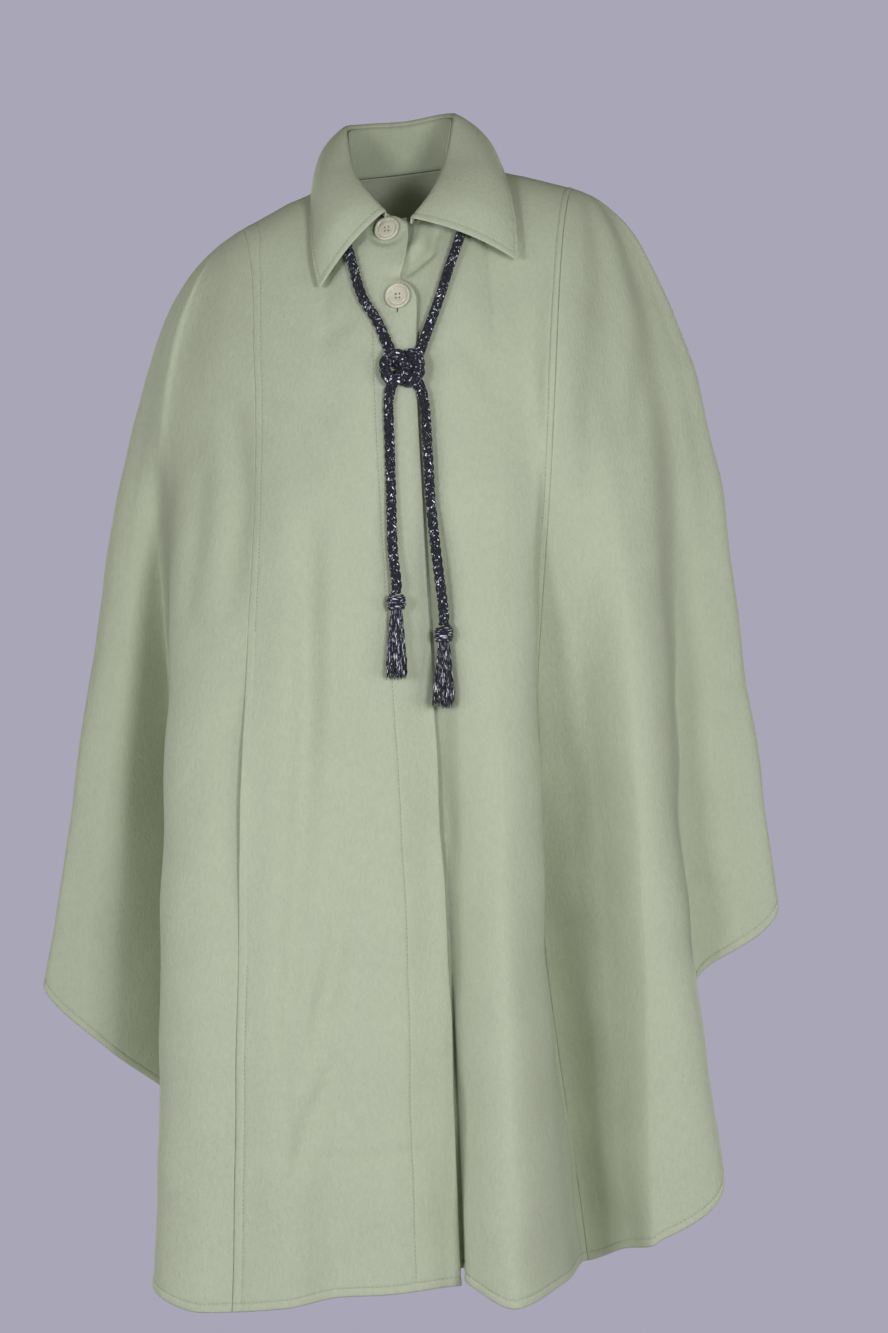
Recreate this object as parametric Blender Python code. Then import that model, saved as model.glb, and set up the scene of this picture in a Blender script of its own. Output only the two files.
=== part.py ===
"""Cape coat of brushed wool: two centre fronts, two side panels and a back, with arm slits in
the front princess seams, a stand, a pointed collar, two buttons and a braided neck tie with
tassels. Metres, +Z up, the wearer faces -Y. The origin is the middle of the shoulder line."""

from collections import namedtuple
from math import cos, pi, radians, sin

import bmesh
import bpy
import numpy as np
from mathutils import Matrix, Vector

MM = 0.001
MERGE = 0.00001           # points nearer than this are one
TINY = 1e-6

# Cloth and sewing
CLOTH = 0.0024            # wall of the brushed wool
SEAM_GAP = 0.0003         # between two panels along a seam
COLUMN = 0.017            # widest step of a panel's grid round the body
SLIT_LIFTS = {"right_seam": 0.006, "left_seam": 0.002}   # how far a front stands off at its slit
SLIT_TOP = 0.43           # the arm slit's ends, as shares of the way from neck to hem
SLIT_END = 0.71
SLIT_REACH = 0.05         # width of the front that the slit lifts
CLOTH_CREASE = radians(50.0)   # sharper edges of cloth are drawn as edges
TRIM_CREASE = radians(40.0)

# Neck and shoulders
NECK_HALF = 0.066         # half width of the neck seam
NECK_FRONT = 0.068        # neck seam, forward of the shoulder line
NECK_BACK = 0.058         # neck seam, behind the shoulder line
NECK_SIDE_Z = 0.040       # height of the neck seam at the side, front and back
NECK_FRONT_Z = -0.020
NECK_BACK_Z = 0.046
NECK_SCOOP = 1.4          # how late the front of the neck seam drops
NECK_AXIS_X = -0.004      # the middle of the neck, for the collar
UNDERLAP_TUCK = 0.006     # how far the left front lies behind the right one at the neck
SHOULDER_TIP = 0.168      # where the princess seams cross the shoulder line
SHOULDER_SLOPE = 0.39     # fall of the shoulder line for each metre outward
SHOULDER_BOW = 1.9        # roundness of the cloth over the shoulder
SHOULDER_FLAT = 0.5       # share of the shoulder, from the neck, over which its top rounds off
NECK_FALL = 0.5           # steepness of the cloth below the neck seam
LEAN = radians(7.0)       # the neck and shoulders lean, the left shoulder higher

# Levels of the cape, as shares of the way from neck or shoulder to hem
CHEST_Z = -0.250
CHEST_HANG = 0.9          # how far the cloth at chest level already hangs straight
LEVELS = np.array((0.0, 0.27, 0.60, 1.0))
WAIST_SHARE = (LEVELS[2] - LEVELS[1]) / (LEVELS[3] - LEVELS[1])
TOP_SHARE = 0.012         # nearest to the top line that the cloth's normal is taken
STEP_ROUND = 0.001        # steps for normals, round the body and down it
STEP_DOWN = 0.004
GRID_ROWS = (0.0, 0.025, 0.06, 0.11, 0.17, 0.23, 0.30, 0.38, 0.46, 0.54, 0.62, 0.71, 0.80,
             0.88, 0.95, 1.0)

# A fold line runs from the neck or shoulder to the hem. top is its place on the neck and
# shoulder line: 0 at the middle, 1 at the side of the neck, 2 at the shoulder tip, negative on
# the wearer's right. The other columns are in millimetres, in plan, at chest, waist and hem.
Fold = namedtuple("Fold", "name top chest_x chest_y waist_x waist_y hem_x hem_y hem_z")

RIGHT_FRONT_FOLDS = (
    Fold("right_edge", -0.03, 13, -135, 33, -163, 51, -190, -1035),
    Fold("right_rise", -0.42, -35, -138, -19, -186, -20, -213, -1040),
    Fold("right_dip", -1.00, -78, -131, -66, -186, -60, -212, -1042),
    Fold("right_fold", -1.48, -112, -121, -110, -192, -108, -233, -1048),
    Fold("right_seam", -2.00, -146, -105, -155, -180, -160, -225, -1053),
    Fold("right_face", -2.00, -187, -83, -191, -172, -190, -222, -1054),
    Fold("right_ridge", -2.00, -222, -56, -231, -137, -235, -190, -1035),
    Fold("right_turn", -2.00, -235, -41, -225, -78, -221, -122, -985),
    Fold("right_valley", -2.00, -250, -24, -236, 26, -226, 24, -905),
    Fold("right_wing_face", -2.00, -267, -8, -284, -14, -298, -18, -835),
    Fold("right_wing", -2.00, -284, 14, -320, 2, -363, -4, -774),
)
BACK_FOLDS = (
    Fold("right_wing_back", -2.00, -276, 62, -305, 85, -332, 100, -752),
    Fold("right_back_valley", -2.00, -247, 102, -252, 122, -262, 140, -880),
    Fold("right_back_ridge", -2.00, -205, 132, -222, 182, -235, 222, -985),
    Fold("right_back_seam", -2.00, -150, 144, -160, 186, -165, 220, -1012),
    Fold("back_right_fold", -1.48, -105, 151, -105, 204, -105, 248, -1025),
    Fold("back_right_dip", -1.00, -52, 154, -52, 192, -52, 218, -1030),
    Fold("back_centre", 0.00, 3, 156, 2, 200, 3, 243, -1035),
    Fold("back_left_dip", 1.00, 58, 155, 56, 190, 58, 214, -1030),
    Fold("back_left_fold", 1.48, 110, 152, 112, 202, 114, 246, -1023),
    Fold("left_back_seam", 2.00, 155, 146, 165, 186, 172, 222, -1008),
    Fold("left_back_ridge", 2.00, 213, 135, 228, 180, 240, 222, -975),
    Fold("left_back_valley", 2.00, 262, 103, 266, 118, 275, 135, -850),
    Fold("left_wing_back", 2.00, 297, 60, 322, 80, 338, 98, -680),
)
LEFT_FRONT_FOLDS = (
    Fold("left_wing", 2.00, 309, 8, 336, -2, 370, -8, -692),
    Fold("left_wing_face", 2.00, 286, -10, 302, -20, 325, -24, -731),
    Fold("left_wing_valley", 2.00, 263, -26, 266, -25, 284, -30, -775),
    Fold("left_side_turn", 2.00, 238, -64, 258, -84, 305, -106, -957),
    Fold("left_side_ridge", 2.00, 205, -86, 224, -115, 240, -135, -1007),
    Fold("left_side_face", 2.00, 172, -106, 168, -62, 213, -88, -1020),
    Fold("left_seam", 2.00, 140, -117, 126, -46, 177, -62, -1037),
    Fold("left_front_turn", 1.48, 122, -118, 128, -142, 152, -185, -1033),
    Fold("left_front_ridge", 1.00, 88, -130, 88, -190, 100, -250, -1045),
    Fold("left_front_near", 0.36, 45, -136, 53, -178, 57, -216, -1025),
    Fold("left_under", 0.00, 8, -129, 36, -155, 54, -180, -1020),
    Fold("left_edge", -0.35, -30, -130, -5, -160, 8, -178, -1015),
)

# Collar sections from the wearer's right point round the back to the left one, in millimetres:
# neck is the angle of the seam below it in degrees, 0 in front, positive to the left.
Section = namedtuple("Section", "name neck roll_x roll_y roll_z edge_x edge_y edge_z bow")

COLLAR_SECTIONS = (
    Section("right_point", -8, -21, -94, -15, -86, -99, -93, 8),
    Section("right_leaf", -32, -37, -80, 5, -93, -82, -54, 12),
    Section("right_shoulder", -62, -56, -47, 38, -95, -48, -8, 12),
    Section("right_side", -95, -64, 0, 84, -91, 10, 27, 9),
    Section("right_back", -137, -42, 45, 95, -77, 61, 3, 9),
    Section("back", -180, -6, 61, 100, -4, 93, 11, 8),
    Section("left_back", -223, 32, 45, 104, 72, 63, 18, 9),
    Section("left_side", -265, 48, 0, 97, 90, 10, 45, 9),
    Section("left_shoulder", -298, 38, -47, 43, 100, -48, 18, 12),
    Section("left_leaf", -328, 24, -75, 9, 107, -74, -24, 13),
    Section("left_point", -352, 4, -92, -21, 110, -92, -64, 9),
)
COLLAR_COLUMNS = 4        # grid steps between two collar sections
ROLL_DEPTH = 0.004        # the fall's inner edge lies this far inside the roll
ROLL_DROP = 0.6           # and this share of it below the roll
BOW_RISE = 0.5            # rise of the fall's bow for each unit outward
BOW_SHAPE = 0.8
FALL_ROWS = (0.0, 0.12, 0.3, 0.5, 0.75, 1.0)
STAND_ROWS = (0.0, 0.5, 1.0)
STAND_CLEAR = 0.0010      # stand to panel
STAND_TOP_CLEAR = 0.0006  # stand to fall
SECTION_STEP = 0.02       # steps for the collar's normals, round the neck and down the fall
FALL_STEP = 0.05

# Buttons, places in the front view in metres
BUTTON_DIAMETER = 0.025
BUTTON_HEIGHT = 0.0045
BUTTON_RIM = 0.0030
BUTTON_SUNK = 0.0012      # depth of the face inside the rim
BUTTON_CHAMFER = 0.0010
BUTTON_STEPS = 28
BUTTON_LIFT = 0.0004
BUTTON_PLACES = {"button_top": (-0.019, -0.033), "button_lower": (-0.008, -0.100)}

# Neck tie: a braided cord round the neck under the collar, tied in a reef knot
CORD = 0.0105
CORD_CLEAR = 0.0008       # cord to cloth
CORD_STEP = 0.024
CORD_SIDES = 2            # bevel resolution
CORD_STRAIGHT = 0.012     # straight end of the cord above a tassel
NECK_RUN = (180, 152, 124, 98, 78, 60)   # neck angles that the cord passes, in degrees
NECK_RUN_OUT = 0.0078     # the cord's middle from the neck seam, outward and up
NECK_RUN_UP = 0.0072
KNOT_CENTRE = (-0.004, -0.172)
KNOT_SHARE = 0.74         # the cord is pulled thinner in the knot
KNOT_LAYER = CORD * KNOT_SHARE / 2 + SEAM_GAP

# Places on the fronts that a cord passes, x and z in millimetres in the front view, and on the
# tails also how far the tassel draws the cord off the cloth
RIGHT_CHEST_RUN = ((-62, -32), (-53, -66), (-42, -101), (-27, -127))
RIGHT_TAIL_RUN = ((-17, -204, 0), (-16, -250, 0), (-15, -297, 1), (-14, -345, 2))
LEFT_CHEST_RUN = ((59, -14), (52, -41), (40, -76), (32, -102), (23, -127))
LEFT_TAIL_RUN = ((17, -204, 0), (20, -250, 1), (22, -297, 3), (26, -345, 6), (30, -386, 9))

# Upper half of the knot in millimetres from its middle; layer is -1 on the cloth, 1 in front.
# The lower half mirrors it. The right cord's bight closes at +X, the left cord's at -X.
KnotPoint = namedtuple("KnotPoint", "x z layer")
RIGHT_BIGHT = (
    KnotPoint(-9.0, 12.0, -1.0),
    KnotPoint(-3.2, 5.6, -1.0),
    KnotPoint(0.4, 8.8, -1.0),
    KnotPoint(4.6, 12.3, -0.6),
    KnotPoint(9.2, 13.0, 0.8),
    KnotPoint(14.2, 9.2, 1.0),
    KnotPoint(16.4, 0.0, 1.0),
)
LEFT_BIGHT = (
    KnotPoint(13.8, 10.6, -1.0),
    KnotPoint(8.8, 4.5, -1.0),
    KnotPoint(4.6, 4.5, 0.3),
    KnotPoint(0.4, 7.8, 1.0),
    KnotPoint(-4.2, 12.0, 1.0),
    KnotPoint(-9.2, 13.0, 1.0),
    KnotPoint(-14.2, 9.2, 1.0),
    KnotPoint(-16.4, 0.0, 1.0),
)

# Tassels: place of the head's middle in the front view, length of the skirt, head to cloth
Tassel = namedtuple("Tassel", "name x z skirt clear")
TASSELS = (
    Tassel("tassel_right", -0.0114, -0.3963, 0.064, 0.0010),
    Tassel("tassel_left", 0.0310, -0.4266, 0.061, 0.0075),
)
TASSEL_HEAD = 0.0095      # radius of the bound head
TASSEL_HALF = 0.0080      # half of the head's height
TASSEL_GRID = 6           # strands along each side of the grid below the head
STRAND_SHARE = 0.80       # width of a strand in its grid square
STRAND_STEPS = 2
SKIRT_SPREAD = 1.70       # width of the skirt's end against the head's underside
HEAD_RINGS = ((-0.72, 0.86), (-0.35, 1.0), (0.25, 1.0), (0.70, 0.78), (1.0, 0.46))
HEAD_FOOT = (-1.0, 0.56)  # height and radius of the underside, as shares of the head's

COLOURS = {
    "wool": (0.50, 0.56, 0.36, 1.0),
    "button": (0.66, 0.65, 0.50, 1.0),
    "cord": (0.030, 0.034, 0.055, 1.0),
}
ROUGHNESS = {"wool": 0.9, "button": 0.35, "cord": 0.6}


def slopes(places, values):
    """Slopes of a smooth curve through values that never overshoots its points."""
    step = np.diff(places)[:, None]
    rise = np.diff(values, axis=0) / step
    result = np.zeros_like(values)
    same_way = rise[:-1] * rise[1:] > 0.0
    weight_a = 2.0 * step[1:] + step[:-1]
    weight_b = step[1:] + 2.0 * step[:-1]
    with np.errstate(divide="ignore", invalid="ignore"):
        mean = (weight_a + weight_b) / (weight_a / rise[:-1] + weight_b / rise[1:])
    result[1:-1] = np.where(same_way, mean, 0.0)
    result[0] = rise[0]
    result[-1] = rise[-1]
    return result


def between(places, values, tangents, place):
    """Point on the cubic through values at places, with the given tangents."""
    index = int(np.clip(np.searchsorted(places, place, side="right") - 1, 0, len(places) - 2))
    span = places[index + 1] - places[index]
    f = (place - places[index]) / span
    return (
        (1.0 + 2.0 * f) * (1.0 - f) ** 2 * values[index]
        + f * (1.0 - f) ** 2 * span * tangents[index]
        + f * f * (3.0 - 2.0 * f) * values[index + 1]
        + f * f * (f - 1.0) * span * tangents[index + 1]
    )


def leaned(x, y, z):
    """A point of the neck or shoulders, turned by the lean about the front-to-back axis."""
    return np.array((x * cos(LEAN) - z * sin(LEAN), y, x * sin(LEAN) + z * cos(LEAN)))


def neck_point(angle, front_depth=NECK_FRONT):
    """Point of the neck seam; angle in radians from the middle of the front."""
    x = NECK_HALF * sin(angle)
    forward = cos(angle)
    if forward > 0.0:
        z = NECK_SIDE_Z + (NECK_FRONT_Z - NECK_SIDE_Z) * forward ** NECK_SCOOP
        return leaned(x, -front_depth * forward, z)
    z = NECK_SIDE_Z - (NECK_BACK_Z - NECK_SIDE_Z) * forward
    return leaned(x, -NECK_BACK * forward, z)


# Search for the place on a front that lies behind a point of the front view
SEEK_ROUNDS = 40
SEEK_STEP = 1e-4
SEEK_SHARE = 0.6

FOLDS = RIGHT_FRONT_FOLDS + BACK_FOLDS + LEFT_FRONT_FOLDS
FOLD_TABLE = np.array([fold[1:] for fold in FOLDS], dtype=float)
FOLD_TABLE[:, 1:] *= MM
CHEST_STEPS = np.linalg.norm(np.diff(FOLD_TABLE[:, 1:3], axis=0), axis=1)
HEM_STEPS = np.linalg.norm(np.diff(FOLD_TABLE[:, 5:7], axis=0), axis=1)
STATIONS = np.concatenate(((0.0,), np.cumsum((CHEST_STEPS + HEM_STEPS) / 2.0)))
FOLD_SLOPES = slopes(STATIONS, FOLD_TABLE)
STATION = {fold.name: place for fold, place in zip(FOLDS, STATIONS)}


def top_point(u, top):
    """Where the line at u starts, on the neck seam or on the shoulder line."""
    side = 1.0 if top > 0.0 else -1.0
    if abs(top) >= 1.0:
        x = NECK_HALF + (abs(top) - 1.0) * (SHOULDER_TIP - NECK_HALF)
        return leaned(side * x, 0.0, NECK_SIDE_Z - SHOULDER_SLOPE * (x - NECK_HALF))
    angle = top * pi / 2.0
    if STATION["right_wing"] < u < STATION["left_wing"]:
        return neck_point(pi - angle)
    if u >= STATION["left_wing"]:
        return neck_point(angle, NECK_FRONT - UNDERLAP_TUCK)
    return neck_point(angle)


def line_points(u):
    """The four points of the line at u, top to hem, and its tangents there."""
    top, chest_x, chest_y, waist_x, waist_y, hem_x, hem_y, hem_z = between(
        STATIONS, FOLD_TABLE, FOLD_SLOPES, u)
    waist_z = CHEST_Z + WAIST_SHARE * (hem_z - CHEST_Z)
    start = top_point(u, top)
    points = np.array((
        start,
        (chest_x, chest_y, CHEST_Z),
        (waist_x, waist_y, waist_z),
        (hem_x, hem_y, hem_z),
    ))
    steps = np.diff(LEVELS)[:, None]
    rise = np.diff(points, axis=0) / steps
    tangents = np.zeros_like(points)
    tangents[1:-1] = (rise[:-1] * steps[1:] + rise[1:] * steps[:-1]) / (steps[:-1] + steps[1:])
    tangents[1] = CHEST_HANG * rise[1] + (1.0 - CHEST_HANG) * rise[0]
    tangents[-1] = rise[-1]
    run = SHOULDER_BOW * (points[1] - start) / LEVELS[1]
    on_shoulder = min(1.0, max(0.0, (abs(top) - 1.0) / SHOULDER_FLAT))
    side = 1.0 if top > 0.0 else -1.0
    along = -SHOULDER_SLOPE * side * run[0] + sin(LEAN) * run[0]
    below = NECK_FALL * (CHEST_Z - start[2]) / LEVELS[1]
    tangents[0] = (run[0], run[1], on_shoulder * along + (1.0 - on_shoulder) * below)
    return points, tangents, top


def cloth_point(u, t):
    """Outer surface of the cape: u runs round it, t from neck or shoulder to hem."""
    points, tangents, _ = line_points(u)
    return between(LEVELS, points, tangents, t)


def cloth_normal(u, t):
    """Outward normal of the cloth at u, t."""
    top = line_points(u)[2]
    if t < TINY and abs(top) > 1.0 - TINY:
        side = 1.0 if top > 0.0 else -1.0
        up = leaned(side * SHOULDER_SLOPE, 0.0, 1.0)
        return up / np.linalg.norm(up)
    t = max(t, TOP_SHARE)
    low = max(u - STEP_ROUND, STATIONS[0])
    high = min(u + STEP_ROUND, STATIONS[-1])
    across = cloth_point(high, t) - cloth_point(low, t)
    down = cloth_point(u, min(t + STEP_DOWN, 1.0)) - cloth_point(u, t - STEP_DOWN)
    normal = np.cross(across, down)
    return normal / np.linalg.norm(normal)


def front_point(x, z, lift):
    """Point lift outside the front that shows at x, z in the front view, and its normal."""
    best = None
    spans = (("right_edge", "right_seam"), ("left_seam", "left_edge"))
    for first, last in spans:
        low = STATION[first]
        high = STATION[last]
        u = (low + high) / 2.0
        t = LEVELS[1]
        for _ in range(SEEK_ROUNDS):
            here = cloth_point(u, t)
            miss = np.array((x - here[0], z - here[2]))
            by_u = cloth_point(min(u + SEEK_STEP, high), t) - cloth_point(max(u - SEEK_STEP, low), t)
            by_t = cloth_point(u, t + SEEK_STEP) - cloth_point(u, max(t - SEEK_STEP, 0.0))
            system = np.array(((by_u[0], by_t[0]), (by_u[2], by_t[2]))) / (2.0 * SEEK_STEP)
            change = np.linalg.lstsq(system, miss, rcond=None)[0]
            u = float(np.clip(u + SEEK_SHARE * change[0], low, high))
            t = float(np.clip(t + SEEK_SHARE * change[1], 0.0, 1.0 - SEEK_STEP))
        here = cloth_point(u, t)
        if best is None or here[1] < best[0][1]:
            best = (here, cloth_normal(u, t))
    surface, normal = best
    place = Vector((x, surface[1], z)) + Vector(normal) * lift
    return place, Vector(normal)


def grid_columns(first, last):
    """Places round the body of a panel's grid columns, at each fold and between."""
    inside = [s for s in STATIONS if STATION[first] <= s <= STATION[last]]
    columns = [inside[0]]
    for low, high in zip(inside[:-1], inside[1:]):
        count = max(2, round((high - low) / COLUMN))
        columns.extend(np.linspace(low, high, count + 1)[1:])
    return columns


def slit_lift(u, t, seam):
    """How far a front stands off at the arm slit in a seam."""
    if not SLIT_TOP < t < SLIT_END:
        return 0.0
    near = max(0.0, 1.0 - abs(u - STATION[seam]) / SLIT_REACH)
    along = sin(pi * (t - SLIT_TOP) / (SLIT_END - SLIT_TOP))
    return SLIT_LIFTS[seam] * near ** 2 * along ** 2


def material(name, kind):
    made = bpy.data.materials.new(name)
    made.use_nodes = True
    shader = made.node_tree.nodes["Principled BSDF"]
    shader.inputs["Base Color"].default_value = COLOURS[kind]
    shader.inputs["Roughness"].default_value = ROUGHNESS[kind]
    shader.inputs["Metallic"].default_value = 0.0
    made.diffuse_color = COLOURS[kind]
    return made


def add_part(name, kind, data):
    """Put a mesh or curve in the collection as a named part with its own material."""
    data.materials.append(material(name, kind))
    part = bpy.data.objects.new(name, data)
    COLLECTION.objects.link(part)
    return part


def walled_grid(name, columns, rows, outer, inward):
    """A wall: a grid moved to outer(column, row), thickened to inward(column, row)."""
    bm = bmesh.new()
    across = len(columns) - 1
    down = len(rows) - 1
    bmesh.ops.create_grid(bm, x_segments=across, y_segments=down, size=0.5)
    column_layer = bm.verts.layers.int.new("column")
    row_layer = bm.verts.layers.int.new("row")
    for vert in bm.verts:
        vert[column_layer] = round((vert.co.x + 0.5) * across)
        vert[row_layer] = round((vert.co.y + 0.5) * down)
        vert.co = outer(columns[vert[column_layer]], rows[vert[row_layer]])
    made = bmesh.ops.extrude_face_region(bm, geom=bm.faces[:], use_keep_orig=True)
    for vert in made["geom"]:
        if isinstance(vert, bmesh.types.BMVert):
            vert.co += inward(columns[vert[column_layer]], rows[vert[row_layer]])
    bmesh.ops.remove_doubles(bm, verts=bm.verts[:], dist=MERGE)
    bmesh.ops.triangulate(bm, faces=bm.faces[:])
    bmesh.ops.recalc_face_normals(bm, faces=bm.faces[:])
    mesh = bpy.data.meshes.new(name)
    bm.to_mesh(mesh)
    bm.free()
    mesh.shade_smooth()
    mesh.set_sharp_from_angle(angle=CLOTH_CREASE)
    return mesh


def make_panel(name, first, last, top_push, slit_seam=None):
    """A panel of the cape between two fold lines, half a seam gap short of each seam."""
    columns = grid_columns(first, last)
    half_gap = SEAM_GAP / 2.0
    ends = {columns[0]: 1.0, columns[-1]: -1.0}

    def outer(u, t):
        point = cloth_point(u, t)
        if slit_seam is not None:
            point = point + cloth_normal(u, t) * slit_lift(u, t, slit_seam)
        if t == 0.0:
            point = point + np.array(top_push) * half_gap
        elif u in ends:
            beside = cloth_point(u + ends[u] * STEP_ROUND, t) - cloth_point(u, t)
            point = point + beside / np.linalg.norm(beside) * half_gap
        return Vector(point)

    def inward(u, t):
        return Vector(cloth_normal(u, t)) * -CLOTH

    return add_part(name, "wool", walled_grid(name, columns, GRID_ROWS, outer, inward))


def make_panels():
    make_panel("front_right", "right_edge", "right_seam", (0.0, -1.0, 0.0), "right_seam")
    make_panel("side_right", "right_seam", "right_back_seam", (-1.0, 0.0, 0.0))
    make_panel("back", "right_back_seam", "left_back_seam", (0.0, 1.0, 0.0))
    make_panel("side_left", "left_back_seam", "left_seam", (1.0, 0.0, 0.0))
    make_panel("front_left", "left_seam", "left_edge", (0.0, -1.0, 0.0), "left_seam")


SECTION_TABLE = np.array([section[1:] for section in COLLAR_SECTIONS], dtype=float)
SECTION_TABLE[:, 1:] *= MM
SECTION_PLACES = np.arange(len(COLLAR_SECTIONS), dtype=float)
SECTION_SLOPES = slopes(SECTION_PLACES, SECTION_TABLE)


def collar_section(place):
    """Neck angle, roll point, edge point and bow of the collar at place."""
    row = between(SECTION_PLACES, SECTION_TABLE, SECTION_SLOPES, place)
    return radians(row[0]), row[1:4], row[4:7], row[7]


def fall_point(place, w):
    """Outer surface of the turned-down collar, from inside the roll (0) to its edge (1)."""
    _, roll, edge, bow = collar_section(place)
    inward = np.array((NECK_AXIS_X, 0.0, roll[2])) - roll
    inward = inward / np.linalg.norm(inward)
    if w <= FALL_ROWS[1]:
        share = 1.0 - w / FALL_ROWS[1]
        return roll + (inward - np.array((0.0, 0.0, ROLL_DROP))) * ROLL_DEPTH * share
    f = (w - FALL_ROWS[1]) / (1.0 - FALL_ROWS[1])
    out = np.array((0.0, 0.0, BOW_RISE)) - inward
    return roll + (edge - roll) * f + out * bow * sin(pi * f) ** BOW_SHAPE


def fall_normal(place, w):
    """Outward normal of the fall at place, w."""
    low = max(place - SECTION_STEP, SECTION_PLACES[0])
    high = min(place + SECTION_STEP, SECTION_PLACES[-1])
    across = fall_point(high, w) - fall_point(low, w)
    down = fall_point(place, min(w + FALL_STEP, 1.0)) - fall_point(place, max(w - FALL_STEP, 0.0))
    normal = np.cross(across, down)
    return normal / np.linalg.norm(normal)


def stand_lines(place):
    """The stand's foot at the neck seam, its head below the fall, and the way to its inside."""
    angle, roll, _, _ = collar_section(place)
    foot = neck_point(angle) + np.array((0.0, 0.0, STAND_CLEAR))
    fall_up = fall_normal(place, 0.0)
    head = fall_point(place, 0.0) - fall_up * CLOTH
    up = (head - foot) / np.linalg.norm(head - foot)
    inside = np.array((NECK_AXIS_X, 0.0, roll[2])) - roll
    inside = inside - np.dot(inside, up) * up
    inside = inside / np.linalg.norm(inside)
    under = CLOTH * max(0.0, np.dot(inside, fall_up)) + STAND_TOP_CLEAR
    return foot, head - fall_up * under, inside


def stand_point(place, w):
    """Outer surface of the stand, from the neck seam (0) to its head (1)."""
    foot, head, _ = stand_lines(place)
    return foot + (head - foot) * w


def make_collar():
    count = (len(COLLAR_SECTIONS) - 1) * COLLAR_COLUMNS
    columns = list(np.linspace(0.0, SECTION_PLACES[-1], count + 1))
    fall = walled_grid(
        "collar_fall", columns, FALL_ROWS,
        lambda place, w: Vector(fall_point(place, w)),
        lambda place, w: Vector(fall_normal(place, w)) * -CLOTH)
    add_part("collar_fall", "wool", fall)
    stand = walled_grid(
        "collar_stand", columns, STAND_ROWS,
        lambda place, w: Vector(stand_point(place, w)),
        lambda place, w: Vector(stand_lines(place)[2]) * CLOTH)
    add_part("collar_stand", "wool", stand)


def placed(origin, right, normal):
    """Matrix that stands local Z on normal at origin, with local X near right."""
    z_axis = normal.normalized()
    y_axis = z_axis.cross(right).normalized()
    x_axis = y_axis.cross(z_axis)
    matrix = Matrix((x_axis, y_axis, z_axis)).transposed().to_4x4()
    matrix.translation = origin
    return matrix


def mesh_part(name, kind, bm, matrix):
    """Turn a bmesh into a part at matrix."""
    bmesh.ops.recalc_face_normals(bm, faces=bm.faces[:])
    bmesh.ops.transform(bm, matrix=matrix, verts=bm.verts[:])
    mesh = bpy.data.meshes.new(name)
    bm.to_mesh(mesh)
    bm.free()
    mesh.shade_smooth()
    mesh.set_sharp_from_angle(angle=TRIM_CREASE)
    return add_part(name, kind, mesh)


def make_button(name, x, z):
    """A turned button with a raised rim, lying on the right front."""
    radius = BUTTON_DIAMETER / 2.0
    face = BUTTON_HEIGHT - BUTTON_SUNK
    profile = (
        (0.0, 0.0),
        (radius - BUTTON_CHAMFER, 0.0),
        (radius, BUTTON_CHAMFER),
        (radius, BUTTON_HEIGHT - BUTTON_CHAMFER),
        (radius - BUTTON_CHAMFER, BUTTON_HEIGHT),
        (radius - BUTTON_RIM, BUTTON_HEIGHT),
        (radius - BUTTON_RIM - BUTTON_CHAMFER, face),
        (0.0, face),
    )
    bm = bmesh.new()
    verts = [bm.verts.new((r, 0.0, h)) for r, h in profile]
    edges = [bm.edges.new(pair) for pair in zip(verts[:-1], verts[1:])]
    bmesh.ops.spin(bm, geom=verts + edges, cent=(0, 0, 0), axis=(0, 0, 1), angle=2.0 * pi,
                   steps=BUTTON_STEPS, use_merge=True)
    bmesh.ops.remove_doubles(bm, verts=bm.verts[:], dist=MERGE)
    place, normal = front_point(x, z, BUTTON_LIFT)
    mesh_part(name, "button", bm, placed(place, Vector((1, 0, 0)), normal))


def knot_run(bight):
    """A cord's way through the knot: the upper half of its bight, then its mirror image."""
    middle, normal = front_point(*KNOT_CENTRE, CORD * KNOT_SHARE / 2 + CORD_CLEAR + KNOT_LAYER)
    frame = placed(middle, Vector((1, 0, 0)), normal)
    lower = [point._replace(z=-point.z) for point in reversed(bight[:-1])]
    return [frame @ Vector((p.x * MM, p.z * MM, p.layer * KNOT_LAYER))
            for p in list(bight) + lower]


def neck_run(side):
    """The cord's way round the neck, in the corner of the stand and the shoulder."""
    run = []
    for degrees in NECK_RUN:
        angle = side * radians(degrees)
        out = leaned(NECK_RUN_OUT * sin(angle), -NECK_RUN_OUT * cos(angle), NECK_RUN_UP)
        run.append(Vector(neck_point(angle) + out))
    level = Vector(leaned(side, 0.0, 0.0))
    return [run[0] + level * SEAM_GAP / 2.0, run[0] + level * CORD] + run[1:]


def cord_end(tassel):
    """Head's middle, the way up along the tassel and the end of the cord above the head."""
    middle, normal = front_point(tassel.x, tassel.z, TASSEL_HEAD + tassel.clear)
    up = placed(middle, Vector((1, 0, 0)), normal).col[1].to_3d()
    return middle, up, middle + up * (TASSEL_HALF + SEAM_GAP)


def cord_routes():
    """Route points of each half of the tie, and which of them lie in the knot."""
    lift = CORD / 2 + CORD_CLEAR
    routes = {}
    halves = (
        ("tie_cord_right", -1.0, RIGHT_CHEST_RUN, RIGHT_BIGHT, RIGHT_TAIL_RUN, TASSELS[0]),
        ("tie_cord_left", 1.0, LEFT_CHEST_RUN, LEFT_BIGHT, LEFT_TAIL_RUN, TASSELS[1]),
    )
    for name, side, chest, bight, tail, tassel in halves:
        before = neck_run(side) + [front_point(x * MM, z * MM, lift)[0] for x, z in chest]
        knot = knot_run(bight)
        _, up, end = cord_end(tassel)
        after = [front_point(x * MM, z * MM, lift + off * MM)[0] for x, z, off in tail]
        after += [end + up * CORD_STRAIGHT, end]
        shares = [1.0] * len(before) + [KNOT_SHARE] * len(knot) + [1.0] * len(after)
        routes[name] = (before + knot + after, shares)
    return routes


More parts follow.
